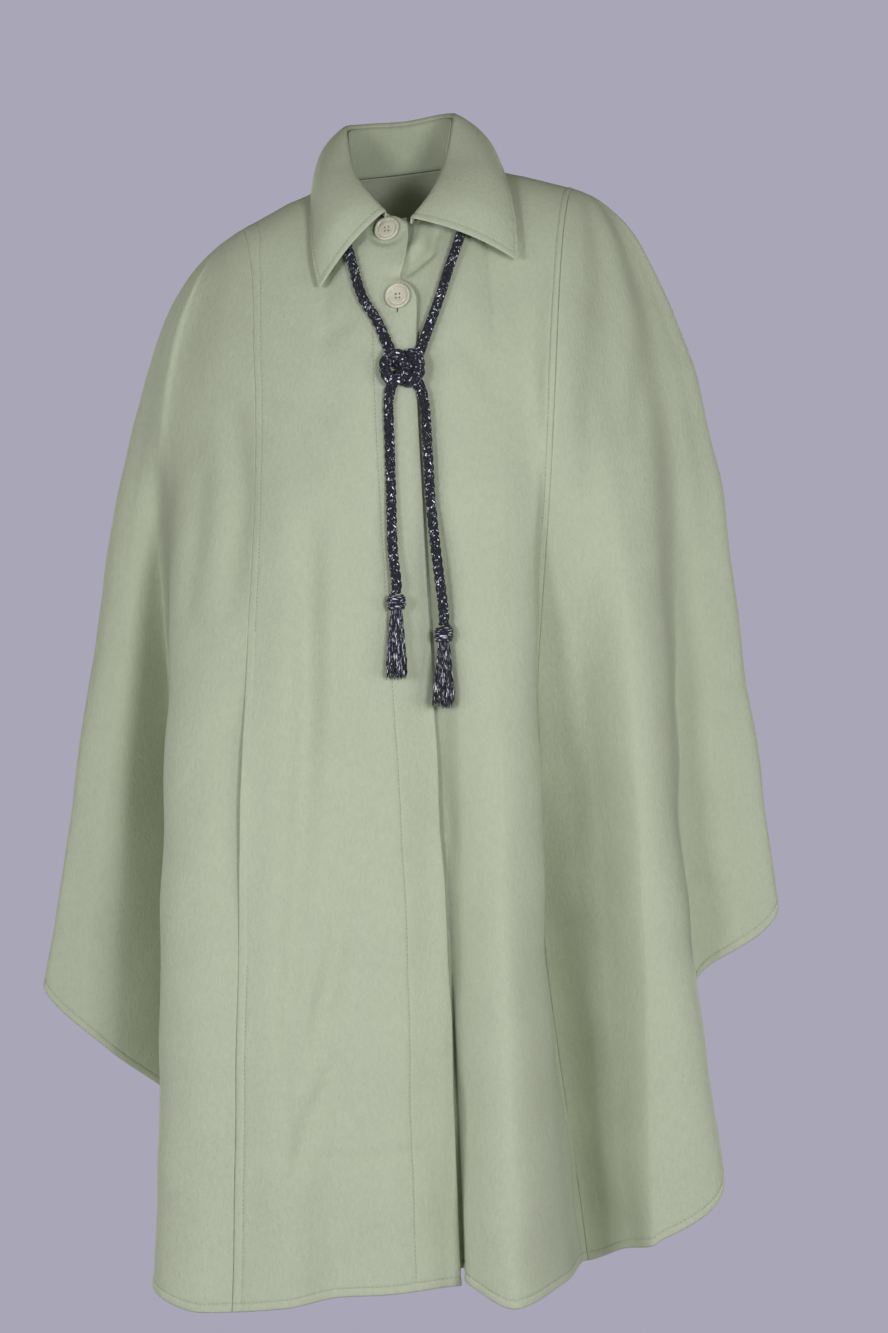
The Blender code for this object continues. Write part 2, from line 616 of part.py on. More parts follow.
def smooth_route(points, shares):
    """Points read from a smooth curve through the route, a step of about CORD_STEP apart."""
    result = []
    last = len(points) - 1
    for index in range(last):
        a = points[max(index - 1, 0)]
        b = points[index]
        c = points[index + 1]
        d = points[min(index + 2, last)]
        count = max(1, round((c - b).length / CORD_STEP))
        for step in range(count):
            f = step / count
            way = (
                b
                + (c - a) * 0.5 * f
                + (a - b * 2.5 + c * 2.0 - d * 0.5) * f * f
                + ((b - c) * 1.5 + (d - a) * 0.5) * f ** 3
            )
            result.append((way, shares[index] + (shares[index + 1] - shares[index]) * f))
    result.append((points[-1], shares[-1]))
    return result


def make_cords():
    for name, (points, shares) in cord_routes().items():
        curve = bpy.data.curves.new(name, "CURVE")
        curve.dimensions = "3D"
        curve.bevel_depth = CORD / 2.0
        curve.bevel_resolution = CORD_SIDES
        curve.use_fill_caps = True
        way = smooth_route(points, shares)
        spline = curve.splines.new("POLY")
        spline.points.add(len(way) - 1)
        for point, (place, share) in zip(spline.points, way):
            point.co = (*place, 1.0)
            point.radius = share
        add_part(name, "cord", curve)


def make_tassel(tassel):
    """A bound head with a skirt of strands that hang from squares of its underside."""
    bm = bmesh.new()
    bmesh.ops.create_grid(bm, x_segments=TASSEL_GRID, y_segments=TASSEL_GRID, size=1.0)
    foot_height, foot_radius = HEAD_FOOT
    for vert in bm.verts:
        x, y, _ = vert.co
        round_x = x * (1.0 - y * y / 2.0) ** 0.5
        round_y = y * (1.0 - x * x / 2.0) ** 0.5
        vert.co = (round_x * foot_radius * TASSEL_HEAD, round_y * foot_radius * TASSEL_HEAD,
                   foot_height * TASSEL_HALF)
    squares = bm.faces[:]
    rim = [edge for edge in bm.edges if edge.is_boundary]
    radius = foot_radius
    for height, share in HEAD_RINGS:
        made = bmesh.ops.extrude_edge_only(bm, edges=rim)["geom"]
        rim = [item for item in made if isinstance(item, bmesh.types.BMEdge)]
        for vert in made:
            if isinstance(vert, bmesh.types.BMVert):
                vert.co.x *= share / radius
                vert.co.y *= share / radius
                vert.co.z = height * TASSEL_HALF
        radius = share
    bmesh.ops.edgeloop_fill(bm, edges=rim)
    tips = bmesh.ops.extrude_discrete_faces(bm, faces=squares)["faces"]
    for face in tips:
        middle = face.calc_center_median()
        for vert in face.verts:
            vert.co = middle + (vert.co - middle) * STRAND_SHARE
    for _ in range(STRAND_STEPS):
        tips = bmesh.ops.extrude_discrete_faces(bm, faces=tips)["faces"]
        for face in tips:
            middle = face.calc_center_median()
            spread = 1.0 + (SKIRT_SPREAD - 1.0) / STRAND_STEPS
            moved = Vector((middle.x * spread, middle.y * spread,
                            middle.z - tassel.skirt / STRAND_STEPS))
            for vert in face.verts:
                vert.co += moved - middle
    middle, up, _ = cord_end(tassel)
    mesh_part(tassel.name, "cord", bm, placed(middle, Vector((1, 0, 0)), up))


def main():
    for old in list(bpy.data.objects):
        bpy.data.objects.remove(old, do_unlink=True)
    bpy.context.scene.collection.children.link(COLLECTION)
    make_panels()
    make_collar()
    for name, (x, z) in BUTTON_PLACES.items():
        make_button(name, x, z)
    make_cords()
    for tassel in TASSELS:
        make_tassel(tassel)


COLLECTION = bpy.data.collections.new("cape_coat")
main()
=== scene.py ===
"""Looks of the cape coat: brushed wool panels with sewn welts, a pointed collar, four-hole
buttons and a braided neck tie with tassels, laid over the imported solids. Metres, +Z up, the
wearer faces -Y, and right and left are the wearer's."""

from collections import namedtuple
from math import cos, pi, radians, sin

import bmesh
import bpy
import numpy as np
from mathutils import Matrix, Vector


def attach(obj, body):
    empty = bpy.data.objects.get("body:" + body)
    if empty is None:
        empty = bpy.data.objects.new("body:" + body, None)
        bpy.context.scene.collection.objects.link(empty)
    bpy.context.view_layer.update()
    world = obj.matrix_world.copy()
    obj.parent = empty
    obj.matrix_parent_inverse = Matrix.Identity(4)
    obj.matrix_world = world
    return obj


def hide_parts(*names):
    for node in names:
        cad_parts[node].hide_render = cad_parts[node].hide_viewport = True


bl_info = {
    "name": "Cape coat",
    "version": (1, 0, 0),
    "blender": (4, 5, 0),
    "location": "View3D > Sidebar > Cape coat",
    "description": "Dresses the cape coat: cloth, sewing, collar, buttons, neck tie and stage",
    "category": "Object",
}

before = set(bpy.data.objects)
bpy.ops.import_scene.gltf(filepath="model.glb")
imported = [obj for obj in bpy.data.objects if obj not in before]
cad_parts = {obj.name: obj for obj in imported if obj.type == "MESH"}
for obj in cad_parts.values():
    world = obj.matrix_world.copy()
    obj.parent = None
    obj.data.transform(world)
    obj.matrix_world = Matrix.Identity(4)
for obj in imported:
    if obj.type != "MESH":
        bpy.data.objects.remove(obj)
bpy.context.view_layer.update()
BODY = "root"
MM = 0.001
MERGE = 0.00002           # points nearer than this are joined

# The cape's cut, in metres; slit ends and levels are shares of the way down. SLIT_LIFTS is how
# far the front lip of each arm slit stands off.
SLIT_LIFTS = {"right_seam": 0.006, "left_seam": 0.002}
SLIT_TOP = 0.43
SLIT_END = 0.71
SLIT_REACH = 0.05         # the slit's lips move the cloth this far beside them
NECK_HALF = 0.066
NECK_FRONT = 0.068
NECK_BACK = 0.058
NECK_SIDE_Z = 0.040
NECK_FRONT_Z = -0.020
NECK_BACK_Z = 0.046
NECK_SCOOP = 1.4          # how hollow the front of the neck seam is, a power
NECK_AXIS_X = -0.004
UNDERLAP_TUCK = 0.006     # the left front's neck lies this far inside the right one's
SHOULDER_TIP = 0.168
SHOULDER_SLOPE = 0.39
SHOULDER_BOW = 1.9        # how far the cloth runs out over the shoulder before it falls
SHOULDER_FLAT = 0.5
NECK_FALL = 0.5           # how steeply it leaves the neck seam
LEAN = radians(7.0)       # the neck and shoulders stand a little higher on the left
CHEST_Z = -0.250
CHEST_HANG = 0.9          # how far the cloth at the chest hangs as it does below
LEVELS = np.array((0.0, 0.27, 0.60, 1.0))
WAIST_SHARE = (LEVELS[2] - LEVELS[1]) / (LEVELS[3] - LEVELS[1])
TOP_SHARE = 0.012         # above it the cloth keeps the direction that it has here
STEP_ROUND = 0.001
STEP_DOWN = 0.004

# Fold lines from the neck or shoulder to the hem. top is the place on the neck and shoulder
# line: 0 in the middle, 1 at the side of the neck, 2 at the shoulder tip, negative on the right.
# The other columns are in millimetres, in plan, at chest, waist and hem.
Fold = namedtuple("Fold", "name top chest_x chest_y waist_x waist_y hem_x hem_y hem_z")
FOLDS = (
    Fold("right_edge", -0.03, 13, -135, 33, -163, 51, -190, -1035),
    Fold("right_rise", -0.42, -35, -138, -19, -186, -20, -213, -1040),
    Fold("right_dip", -1.00, -78, -131, -66, -186, -60, -212, -1042),
    Fold("right_fold", -1.48, -112, -121, -110, -192, -108, -233, -1048),
    Fold("right_seam", -2.00, -146, -105, -155, -180, -160, -225, -1053),
    Fold("right_face", -2.00, -187, -83, -191, -172, -190, -222, -1054),
    Fold("right_ridge", -2.00, -222, -56, -231, -137, -235, -190, -1035),
    Fold("right_turn", -2.00, -235, -41, -225, -78, -221, -122, -985),
    Fold("right_valley", -2.00, -250, -24, -236, 26, -226, 24, -905),
    Fold("right_wing_face", -2.00, -267, -8, -284, -14, -298, -18, -835),
    Fold("right_wing", -2.00, -284, 14, -320, 2, -363, -4, -774),
    Fold("right_wing_back", -2.00, -276, 62, -305, 85, -332, 100, -752),
    Fold("right_back_valley", -2.00, -247, 102, -252, 122, -262, 140, -880),
    Fold("right_back_ridge", -2.00, -205, 132, -222, 182, -235, 222, -985),
    Fold("right_back_seam", -2.00, -150, 144, -160, 186, -165, 220, -1012),
    Fold("back_right_fold", -1.48, -105, 151, -105, 204, -105, 248, -1025),
    Fold("back_right_dip", -1.00, -52, 154, -52, 192, -52, 218, -1030),
    Fold("back_centre", 0.00, 3, 156, 2, 200, 3, 243, -1035),
    Fold("back_left_dip", 1.00, 58, 155, 56, 190, 58, 214, -1030),
    Fold("back_left_fold", 1.48, 110, 152, 112, 202, 114, 246, -1023),
    Fold("left_back_seam", 2.00, 155, 146, 165, 186, 172, 222, -1008),
    Fold("left_back_ridge", 2.00, 213, 135, 228, 180, 240, 222, -975),
    Fold("left_back_valley", 2.00, 262, 103, 266, 118, 275, 135, -850),
    Fold("left_wing_back", 2.00, 297, 60, 322, 80, 338, 98, -680),
    Fold("left_wing", 2.00, 309, 8, 336, -2, 370, -8, -692),
    Fold("left_wing_face", 2.00, 286, -10, 302, -20, 325, -24, -731),
    Fold("left_wing_valley", 2.00, 263, -26, 266, -25, 284, -30, -775),
    Fold("left_side_turn", 2.00, 238, -64, 258, -84, 305, -106, -957),
    Fold("left_side_ridge", 2.00, 205, -86, 224, -115, 240, -135, -1007),
    Fold("left_side_face", 2.00, 172, -106, 168, -62, 213, -88, -1020),
    Fold("left_seam", 2.00, 140, -117, 126, -46, 177, -62, -1037),
    Fold("left_front_turn", 1.48, 122, -118, 128, -142, 152, -185, -1033),
    Fold("left_front_ridge", 1.00, 88, -130, 88, -190, 100, -250, -1045),
    Fold("left_front_near", 0.36, 45, -136, 53, -178, 57, -216, -1025),
    Fold("left_under", 0.00, 8, -129, 36, -155, 54, -180, -1020),
    Fold("left_edge", -0.35, -30, -130, -5, -160, 8, -178, -1015),
)


def slopes(places, values):
    """Slopes of a smooth curve through values that never overshoots its points."""
    step = np.diff(places)[:, None]
    rise = np.diff(values, axis=0) / step
    result = np.zeros_like(values)
    same_way = rise[:-1] * rise[1:] > 0.0
    weight_a = 2.0 * step[1:] + step[:-1]
    weight_b = step[1:] + 2.0 * step[:-1]
    with np.errstate(divide="ignore", invalid="ignore"):
        mean = (weight_a + weight_b) / (weight_a / rise[:-1] + weight_b / rise[1:])
    result[1:-1] = np.where(same_way, mean, 0.0)
    result[0] = rise[0]
    result[-1] = rise[-1]
    return result


def hermite(start, end, start_slope, end_slope, f):
    """Cubic from start to end, at the shares f."""
    return (
        (1.0 + 2.0 * f) * (1.0 - f) ** 2 * start
        + f * (1.0 - f) ** 2 * start_slope
        + f * f * (3.0 - 2.0 * f) * end
        + f * f * (f - 1.0) * end_slope
    )


def between(places, values, tangents, place):
    """Rows of the smooth curve through values, at each place."""
    index = np.clip(np.searchsorted(places, place, side="right") - 1, 0, len(places) - 2)
    span = (places[index + 1] - places[index])[:, None]
    f = (place - places[index])[:, None] / span
    return hermite(values[index], values[index + 1],
                   tangents[index] * span, tangents[index + 1] * span, f)


def unit(vectors):
    return vectors / np.linalg.norm(vectors, axis=-1, keepdims=True)


def lengths_of(vectors):
    return np.linalg.norm(vectors, axis=1)


def smooth_step(low, high, value):
    f = np.clip((value - low) / (high - low), 0.0, 1.0)
    return f * f * (3.0 - 2.0 * f)


def path_lengths(points):
    """Way along a path from its start to each of its points."""
    return np.concatenate(((0.0,), np.cumsum(lengths_of(np.diff(points, axis=0)))))


def surface_steps(at, u, t, last, step_round, step_down):
    """Normals of a surface at(u, t) and its steps for one unit of u, up to last, and one of t."""
    low, high = np.maximum(u - step_round, 0.0), np.minimum(u + step_round, last)
    across = (at(high, t) - at(low, t)) / (high - low)[:, None]
    above, below = np.maximum(t - step_down, 0.0), np.minimum(t + step_down, 1.0)
    down = (at(u, below) - at(u, above)) / (below - above)[:, None]
    return unit(np.cross(across, down)), across, down


FOLD_TABLE = np.array([fold[1:] for fold in FOLDS], dtype=float)
FOLD_TABLE[:, 1:] *= MM
STATIONS = (path_lengths(FOLD_TABLE[:, 1:3]) + path_lengths(FOLD_TABLE[:, 5:7])) / 2.0
FOLD_SLOPES = slopes(STATIONS, FOLD_TABLE)
STATION = {fold.name: place for fold, place in zip(FOLDS, STATIONS)}


def leaned(x, y, z):
    """Points of the neck or shoulders, turned by the lean about the front-to-back axis."""
    return np.stack((x * cos(LEAN) - z * sin(LEAN), y, x * sin(LEAN) + z * cos(LEAN)), axis=-1)


def neck_points(angle, front_depth=NECK_FRONT):
    """Points of the neck seam; angle in radians from the middle of the front."""
    forward = np.cos(angle)
    ahead = np.maximum(forward, 0.0)
    behind = np.minimum(forward, 0.0)
    z = NECK_SIDE_Z + (NECK_FRONT_Z - NECK_SIDE_Z) * ahead ** NECK_SCOOP
    z = z - (NECK_BACK_Z - NECK_SIDE_Z) * behind
    return leaned(NECK_HALF * np.sin(angle), -front_depth * ahead - NECK_BACK * behind, z)


def top_points(u, top):
    """Where the lines at u start, on the neck seam or on the shoulder line."""
    x = NECK_HALF + (np.abs(top) - 1.0) * (SHOULDER_TIP - NECK_HALF)
    shoulder = leaned(np.sign(top) * x, 0.0 * x, NECK_SIDE_Z - SHOULDER_SLOPE * (x - NECK_HALF))
    angle = top * pi / 2.0
    at_back = (u > STATION["right_wing"]) & (u < STATION["left_wing"])
    depth = np.where(u >= STATION["left_wing"], NECK_FRONT - UNDERLAP_TUCK, NECK_FRONT)
    neck = neck_points(np.where(at_back, pi - angle, angle), depth)
    return np.where((np.abs(top) >= 1.0)[:, None], shoulder, neck)


def cloth_lines(u):
    """The four points of each line at u, top to hem, its tangents there and its top."""
    row = between(STATIONS, FOLD_TABLE, FOLD_SLOPES, u)
    top = row[:, 0]
    level = np.full(len(u), CHEST_Z)
    waist = CHEST_Z + WAIST_SHARE * (row[:, 7] - CHEST_Z)
    start = top_points(u, top)
    points = np.stack((start, np.column_stack((row[:, 1:3], level)),
                       np.column_stack((row[:, 3:5], waist)), row[:, 5:8]), axis=1)
    steps = np.diff(LEVELS)
    rise = np.diff(points, axis=1) / steps[:, None]
    tangents = np.zeros_like(points)
    tangents[:, 1] = CHEST_HANG * rise[:, 1] + (1.0 - CHEST_HANG) * rise[:, 0]
    tangents[:, 2] = (rise[:, 1] * steps[2] + rise[:, 2] * steps[1]) / (steps[1] + steps[2])
    tangents[:, 3] = rise[:, 2]
    run = SHOULDER_BOW * (points[:, 1] - start) / LEVELS[1]
    on_shoulder = np.clip((np.abs(top) - 1.0) / SHOULDER_FLAT, 0.0, 1.0)
    along = (sin(LEAN) - SHOULDER_SLOPE * np.where(top > 0.0, 1.0, -1.0)) * run[:, 0]
    below = NECK_FALL * (CHEST_Z - start[:, 2]) / LEVELS[1]
    fall = on_shoulder * along + (1.0 - on_shoulder) * below
    tangents[:, 0] = np.column_stack((run[:, :2], fall))
    return points, tangents, top


def cloth_at(u, t):
    """Points of the cape's outer surface: u runs round it, t from neck or shoulder to hem."""
    points, tangents, _ = cloth_lines(u)
    index = np.clip(np.searchsorted(LEVELS, t, side="right") - 1, 0, len(LEVELS) - 2)
    each = np.arange(len(u))
    span = (LEVELS[index + 1] - LEVELS[index])[:, None]
    f = (t - LEVELS[index])[:, None] / span
    return hermite(points[each, index], points[each, index + 1],
                   tangents[each, index] * span, tangents[each, index + 1] * span, f)


def cloth_frame(u, t):
    """Points, outward normals, and the metres that one unit of u and one of t stand for."""
    normals, across, down = surface_steps(cloth_at, u, np.maximum(t, TOP_SHARE), STATIONS[-1],
                                          STEP_ROUND, STEP_DOWN)
    return cloth_at(u, t), normals, lengths_of(across), lengths_of(down)


# Sewing and relief, in metres
CLOTH = 0.0024            # thickness of the brushed wool
STITCH_IN = 0.008         # topstitching from a seam or the hem
COLLAR_STITCH_IN = 0.007
COLLAR_SHOWS = 0.45       # how strongly the collar's stitching shows
FLY_STITCH_IN = 0.0415    # the fly's stitching from the front edge
FLY_TOP = 0.14            # where it starts, as a share of the way down
GROOVE_WIDTH = 0.0011
GROOVE_DEPTH = 0.0006
BEAD = 0.0006             # fullness between an edge and its stitching
BEAD_POWER = 0.7          # how steeply it rises at its two sides
EDGE_ROUND = 0.0022       # an edge is rounded over this width
EDGE_DROP = 0.0009
SLIT_DIP = 0.0030         # the side panel sinks below the slit's edge
STITCH_PITCH = 0.0040
STITCH_LENGTH = 0.0032
STITCH_LEAST = STITCH_LENGTH / 3.0
THREAD = 0.0006
THREAD_OUT = 0.3          # how far a stitch stands out of the cloth, as a share of its thread
STITCH_TOP = 0.006        # a seam's stitches start this share of the way down
HEM_SAMPLES = 300         # points that a row of stitches follows
SEAM_SAMPLES = 400
COLLAR_SAMPLES = 500
SEAMS = ("right_seam", "right_back_seam", "left_back_seam", "left_seam")


def placed(axes, origin):
    """Matrix of three axes at an origin."""
    matrix = Matrix(axes).transposed().to_4x4()
    matrix.translation = Vector(origin)
    return matrix


def mesh_of(name, bm):
    """Moves a bmesh into a new mesh."""
    mesh = bpy.data.meshes.new(name)
    bm.to_mesh(mesh)
    bm.free()
    return mesh


def in_scene(name, data):
    """Puts a mesh, a lamp or a camera in the scene."""
    made = bpy.data.objects.new(name, data)
    bpy.context.scene.collection.objects.link(made)
    return made


def add_ball(bm, steps, matrix):
    """A ball of steps round and steps from pole to pole, given its axes by the matrix."""
    bmesh.ops.create_uvsphere(bm, u_segments=steps[0], v_segments=steps[1], radius=1.0,
                              matrix=matrix)


def grids(name, count, columns, rows, place, uv=None):
    """A mesh of count grids; place(number, column, row) gives their points, in arrays."""
    columns = np.asarray(columns, dtype=float)
    rows = np.asarray(rows, dtype=float)
    bm = bmesh.new()
    for _ in range(count):
        bmesh.ops.create_grid(bm, x_segments=len(columns) - 1, y_segments=len(rows) - 1, size=0.5)
    mesh = mesh_of(name, bm)
    flat = np.empty(len(mesh.vertices) * 3)
    mesh.vertices.foreach_get("co", flat)
    flat = flat.reshape(-1, 3)
    column = columns[np.rint((flat[:, 0] + 0.5) * (len(columns) - 1)).astype(int)]
    row = rows[np.rint((flat[:, 1] + 0.5) * (len(rows) - 1)).astype(int)]
    number = np.arange(len(flat)) // (len(columns) * len(rows))
    mesh.vertices.foreach_set("co", place(number, column, row).ravel())
    if uv is not None:
        corners = np.empty(len(mesh.loops), dtype=np.int32)
        mesh.loops.foreach_get("vertex_index", corners)
        layer = mesh.uv_layers.new(name="UVMap")
        layer.uv.foreach_set("vector", uv(number, column, row)[corners].ravel())
    mesh.update()
    return mesh


def closed(mesh, outward=False):
    """Joins the points that meet, at a tube's seam or a pole, and shades the mesh smooth."""
    bm = bmesh.new()
    bm.from_mesh(mesh)
    bmesh.ops.remove_doubles(bm, verts=bm.verts[:], dist=MERGE)
    if outward:
        bmesh.ops.recalc_face_normals(bm, faces=bm.faces[:])
    bm.to_mesh(mesh)
    bm.free()
    mesh.shade_smooth()
    return mesh


def add_piece(name, mesh, material, slot, *nodes):
    """Puts a mesh in the scene as a piece that stands for the CAD nodes."""
    piece = in_scene(name, mesh)
    mesh.materials.append(material)
    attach(piece, BODY)
    if nodes:
        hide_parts(*nodes)
    return piece


def bump(distance, middle, width):
    """A soft rise of height 1 round the middle."""
    return np.exp(-((distance - middle) / width) ** 2)


def round_edge(distance):
    """How far an edge's rounding sinks the cloth, at a distance from the edge."""
    f = np.clip(1.0 - distance / EDGE_ROUND, 0.0, 1.0)
    return -EDGE_DROP * (1.0 - np.sqrt(1.0 - f * f))


# How strongly a front seam shows, by the share of the way down
SEAM_PLACES = (0.0, 0.18, 0.28, 0.43, 0.71, 0.80, 1.0)
SEAM_SHOWS = {
    "right_seam": (0.35, 0.30, 0.30, 0.35, 0.60, 1.0, 1.0),
    "left_seam": (1.0, 1.0, 0.55, 0.50, 0.50, 0.60, 0.80),
}


def seam_shows(side, t):
    return np.interp(t, SEAM_PLACES, SEAM_SHOWS[side]) if side in SEAM_SHOWS else 1.0


def stitched(distance, inset):
    """Relief of an edge that is stitched down: full beside the edge, drawn in at the stitches."""
    inside = np.clip(distance / inset, 0.0, 1.0)
    full = BEAD * np.sin(pi * inside) ** BEAD_POWER
    return full - GROOVE_DEPTH * bump(distance, inset, GROOVE_WIDTH)


def in_slit(t):
    """How far an arm slit stands open, at a share of the way down."""
    inside = np.clip((t - SLIT_TOP) / (SLIT_END - SLIT_TOP), 0.0, 1.0)
    return np.sin(pi * inside) ** 2


# The camera of the front view, in metres. Creases are placed in that view, on the plane of the
# shoulder line.
CAMERA = (0.036, -3.0, -0.4555)


def front_view(points):
    """Places of points in the front view, as x and z on the plane of the shoulder line."""
    grow = -CAMERA[1] / (points[:, 1] - CAMERA[1])
    x = CAMERA[0] + (points[:, 0] - CAMERA[0]) * grow
    z = CAMERA[2] + (points[:, 2] - CAMERA[2]) * grow
    return np.column_stack((x, z))


def to_line(places, ends):
    """Distance to a line of three points, and the share of the way along it."""
    best = np.full(len(places), np.inf)
    share = np.zeros(len(places))
    for number, (a, b) in enumerate(zip(ends[:-1], ends[1:])):
        way = b - a
        f = np.clip((places - a) @ way / (way @ way), 0.0, 1.0)
        away = lengths_of(places - a - f[:, None] * way)
        nearer = away < best
        best = np.where(nearer, away, best)
        share = np.where(nearer, (number + f) / (len(ends) - 1), share)
    return best, share


# Creases, in millimetres: a line of three points in the view of its side, its width and depth.
# A negative depth is a trough, a positive one a ridge.
Crease = namedtuple("Crease", "side x0 z0 x1 z1 x2 z2 width depth")
FRONT_CREASES = (
    (-100, -290, -101, -500, -114, -740, 14, -7.0),
    (-76, -300, -76, -500, -86, -720, 14, 4.5),
    (-112, -640, -118, -800, -104, -980, 15, -7.0),
    (-58, -690, -84, -790, -106, -880, 10, -5.0),
    (-68, -840, -92, -900, -126, -1000, 10, -4.5),
    (-150, -942, -60, -950, 40, -938, 7, -2.4),
    (-36, -430, -36, -540, -32, -650, 18, 2.6),
    (-158, -175, -110, -190, -72, -214, 11, -2.2),
    (-150, -205, -112, -228, -85, -262, 12, -1.8),
    (-177, -189, -167, -281, -180, -414, 13, -5.5),
    (-205, -250, -212, -330, -222, -420, 10, -3.0),
    (186, -73, 184, -180, 182, -300, 14, -4.0),
    (233, -95, 236, -160, 232, -245, 12, -3.4),
    (262, -130, 275, -210, 280, -330, 16, 2.4),
    (292, -452, 326, -468, 354, -464, 9, -2.6),
    (298, -496, 322, -508, 344, -500, 8, -2.2),
    (270, -664, 306, -682, 344, -674, 10, -3.4),
    (284, -690, 310, -706, 330, -704, 8, -2.2),
    (102, -300, 98, -420, 96, -560, 15, -2.6),
    (88, -620, 94, -760, 104, -900, 17, 2.2),
    (150, -560, 196, -840, 268, -1400, 24, 9.0),
    (222, -480, 246, -860, 262, -1300, 22, -6.0),
    (34, -620, 48, -950, 62, -1280, 11, 6.0),
    (-300, -300, -318, -420, -330, -560, 14, -2.4),
    (-318, -620, -336, -700, -350, -760, 12, -2.0),
    (-52, -96, -70, -118, -96, -136, 9, -1.6),
    (44, -120, 70, -150, 92, -196, 12, -1.8),
)
BACK_CREASES = (
    (-60, -120, -70, -260, -64, -480, 19, -3.5),
    (66, -150, 72, -320, 70, -560, 18, -3.0),
    (-128, -300, -134, -480, -142, -760, 16, -2.2),
    (134, -260, 140, -430, 150, -690, 15, -2.4),
    (4, -420, -2, -640, 6, -900, 24, 2.4),
    (-100, -640, -60, -668, -10, -660, 9, -1.2),
    (30, -806, 80, -822, 130, -815, 10, -1.1),
    (-240, -180, -252, -330, -262, -520, 17, -2.6),
    (244, -170, 262, -300, 272, -470, 16, -2.3),
)
CREASES = [Crease("front", *row) for row in FRONT_CREASES]
CREASES += [Crease("back", *row) for row in BACK_CREASES]

# Soft unevenness of the cloth: a few waves of each length and height, in fixed directions
UNEVEN_SEED = 7
UNEVEN_EACH = 3
UNEVEN_SHARE = 1.7        # the waves of one length share its height
UNEVEN_WAVES = ((0.300, 0.0012), (0.190, 0.0010), (0.130, 0.0007), (0.085, 0.0004),
                (0.055, 0.0002), (0.034, 0.00008))


def unevenness(points):
    chance = np.random.default_rng(UNEVEN_SEED)
    total = np.zeros(len(points))
    for length, height in UNEVEN_WAVES:
        for _ in range(UNEVEN_EACH):
            way = unit(chance.normal(size=3)) * 2.0 * pi / length
            total += height / UNEVEN_SHARE * np.sin(points @ way + chance.uniform(0.0, 2.0 * pi))
    return total


CREASE_POWER = 0.7        # how quickly a crease rises from its two ends
CREASE_FACING = (0.05, 0.5)  # it shows on cloth turned to its side, from not at all to full


def crease_height(crease, view, power):
    """Height of one crease at places in the view of its side."""
    away, share = to_line(view, np.array(crease[1:7]).reshape(3, 2) * MM)
    return crease.depth * MM * bump(away, 0.0, crease.width * MM) * np.sin(pi * share) ** power


def creased(points, normals):
    """Relief of the hand-placed creases, on cloth that faces their side."""
    total = np.zeros(len(points))
    views = {"front": front_view(points), "back": points[:, ::2]}
    facing = {"front": smooth_step(*CREASE_FACING, -normals[:, 1]),
              "back": smooth_step(*CREASE_FACING, normals[:, 1])}
    for crease in CREASES:
        total += crease_height(crease, views[crease.side], CREASE_POWER) * facing[crease.side]
    return total


# Panels: fold lines at their two sides, whether their seams are topstitched, and the flat cut
# of what shows, in metres
Panel = namedtuple("Panel", "node first last welted width length area")
PANELS = (
    Panel("front_right", "right_edge", "right_seam", True, 0.240, 1.130, 0.207),
    Panel("side_right", "right_seam", "right_back_seam", False, 1.030, 1.090, 0.492),
    Panel("back", "right_back_seam", "left_back_seam", True, 0.415, 1.135, 0.378),
    Panel("side_left", "left_back_seam", "left_seam", False, 1.055, 1.120, 0.461),
    Panel("front_left", "left_seam", "left_edge", True, 0.360, 1.140, 0.269),
)
STEP = 0.0046             # grid of the cloth
CLOTH_LENGTH = 1.08       # length down the cloth that the grid's rows are counted for
SCALE_LEAST = 0.45        # keeps widths beside a side from growing where the fold lines meet
SHARES = np.linspace(0.0, 1.0, 201)

# Grid lines beside a side of a panel and above the hem, in millimetres from it, and below the
# top, in shares of the way down
FINE = {
    "welt": (0, 0.6, 1.2, 1.9, 2.8, 4.0, 5.2, 6.1, 6.8, 7.4, 8.0, 8.6, 9.2, 10.0, 11.2, 13.5),
    "seam": (0, 0.6, 1.2, 1.9, 2.8, 4.2, 6.5, 9.5),
    "right_edge": (0, 0.6, 1.2, 1.9, 2.8, 5, 8.5, 12.5, 17, 21, 25, 29, 33, 36.5, 39, 40.1, 40.9,
                   41.5, 42.1, 42.9, 44, 46.5),
    "left_edge": (0, 0.6, 1.2, 1.9, 2.8, 5, 8.5),
    "top": (0, 0.0008, 0.0017, 0.0028, 0.0042, 0.006),
}


def scale_round(station):
    """Metres for one unit of u, all along the fold line at a station."""
    return np.maximum(cloth_frame(np.full(len(SHARES), station), SHARES)[2], SCALE_LEAST)


SIDE_SCALES = {panel.first: scale_round(STATION[panel.first]) for panel in PANELS}
SIDE_SCALES["left_edge"] = scale_round(STATION["left_edge"])
ROUND = np.linspace(STATIONS[0], STATIONS[-1], 600)
HEM_SCALES = cloth_frame(ROUND, np.ones(len(ROUND)))[3]


def from_side(side, u, t):
    """Distance over the cloth from the fold line at a side of a panel."""
    return np.abs(u - STATION[side]) * np.interp(t, SHARES, SIDE_SCALES[side])


def from_hem(u, t):
    """Distance over the cloth from the hem."""
    return (1.0 - t) * np.interp(u, ROUND, HEM_SCALES)


def fine_lines(panel, side):
    """Distances of the close grid lines from a side of a panel."""
    if side in SEAMS:
        side = "welt" if panel.welted else "seam"
    return np.array(FINE[side]) * MM


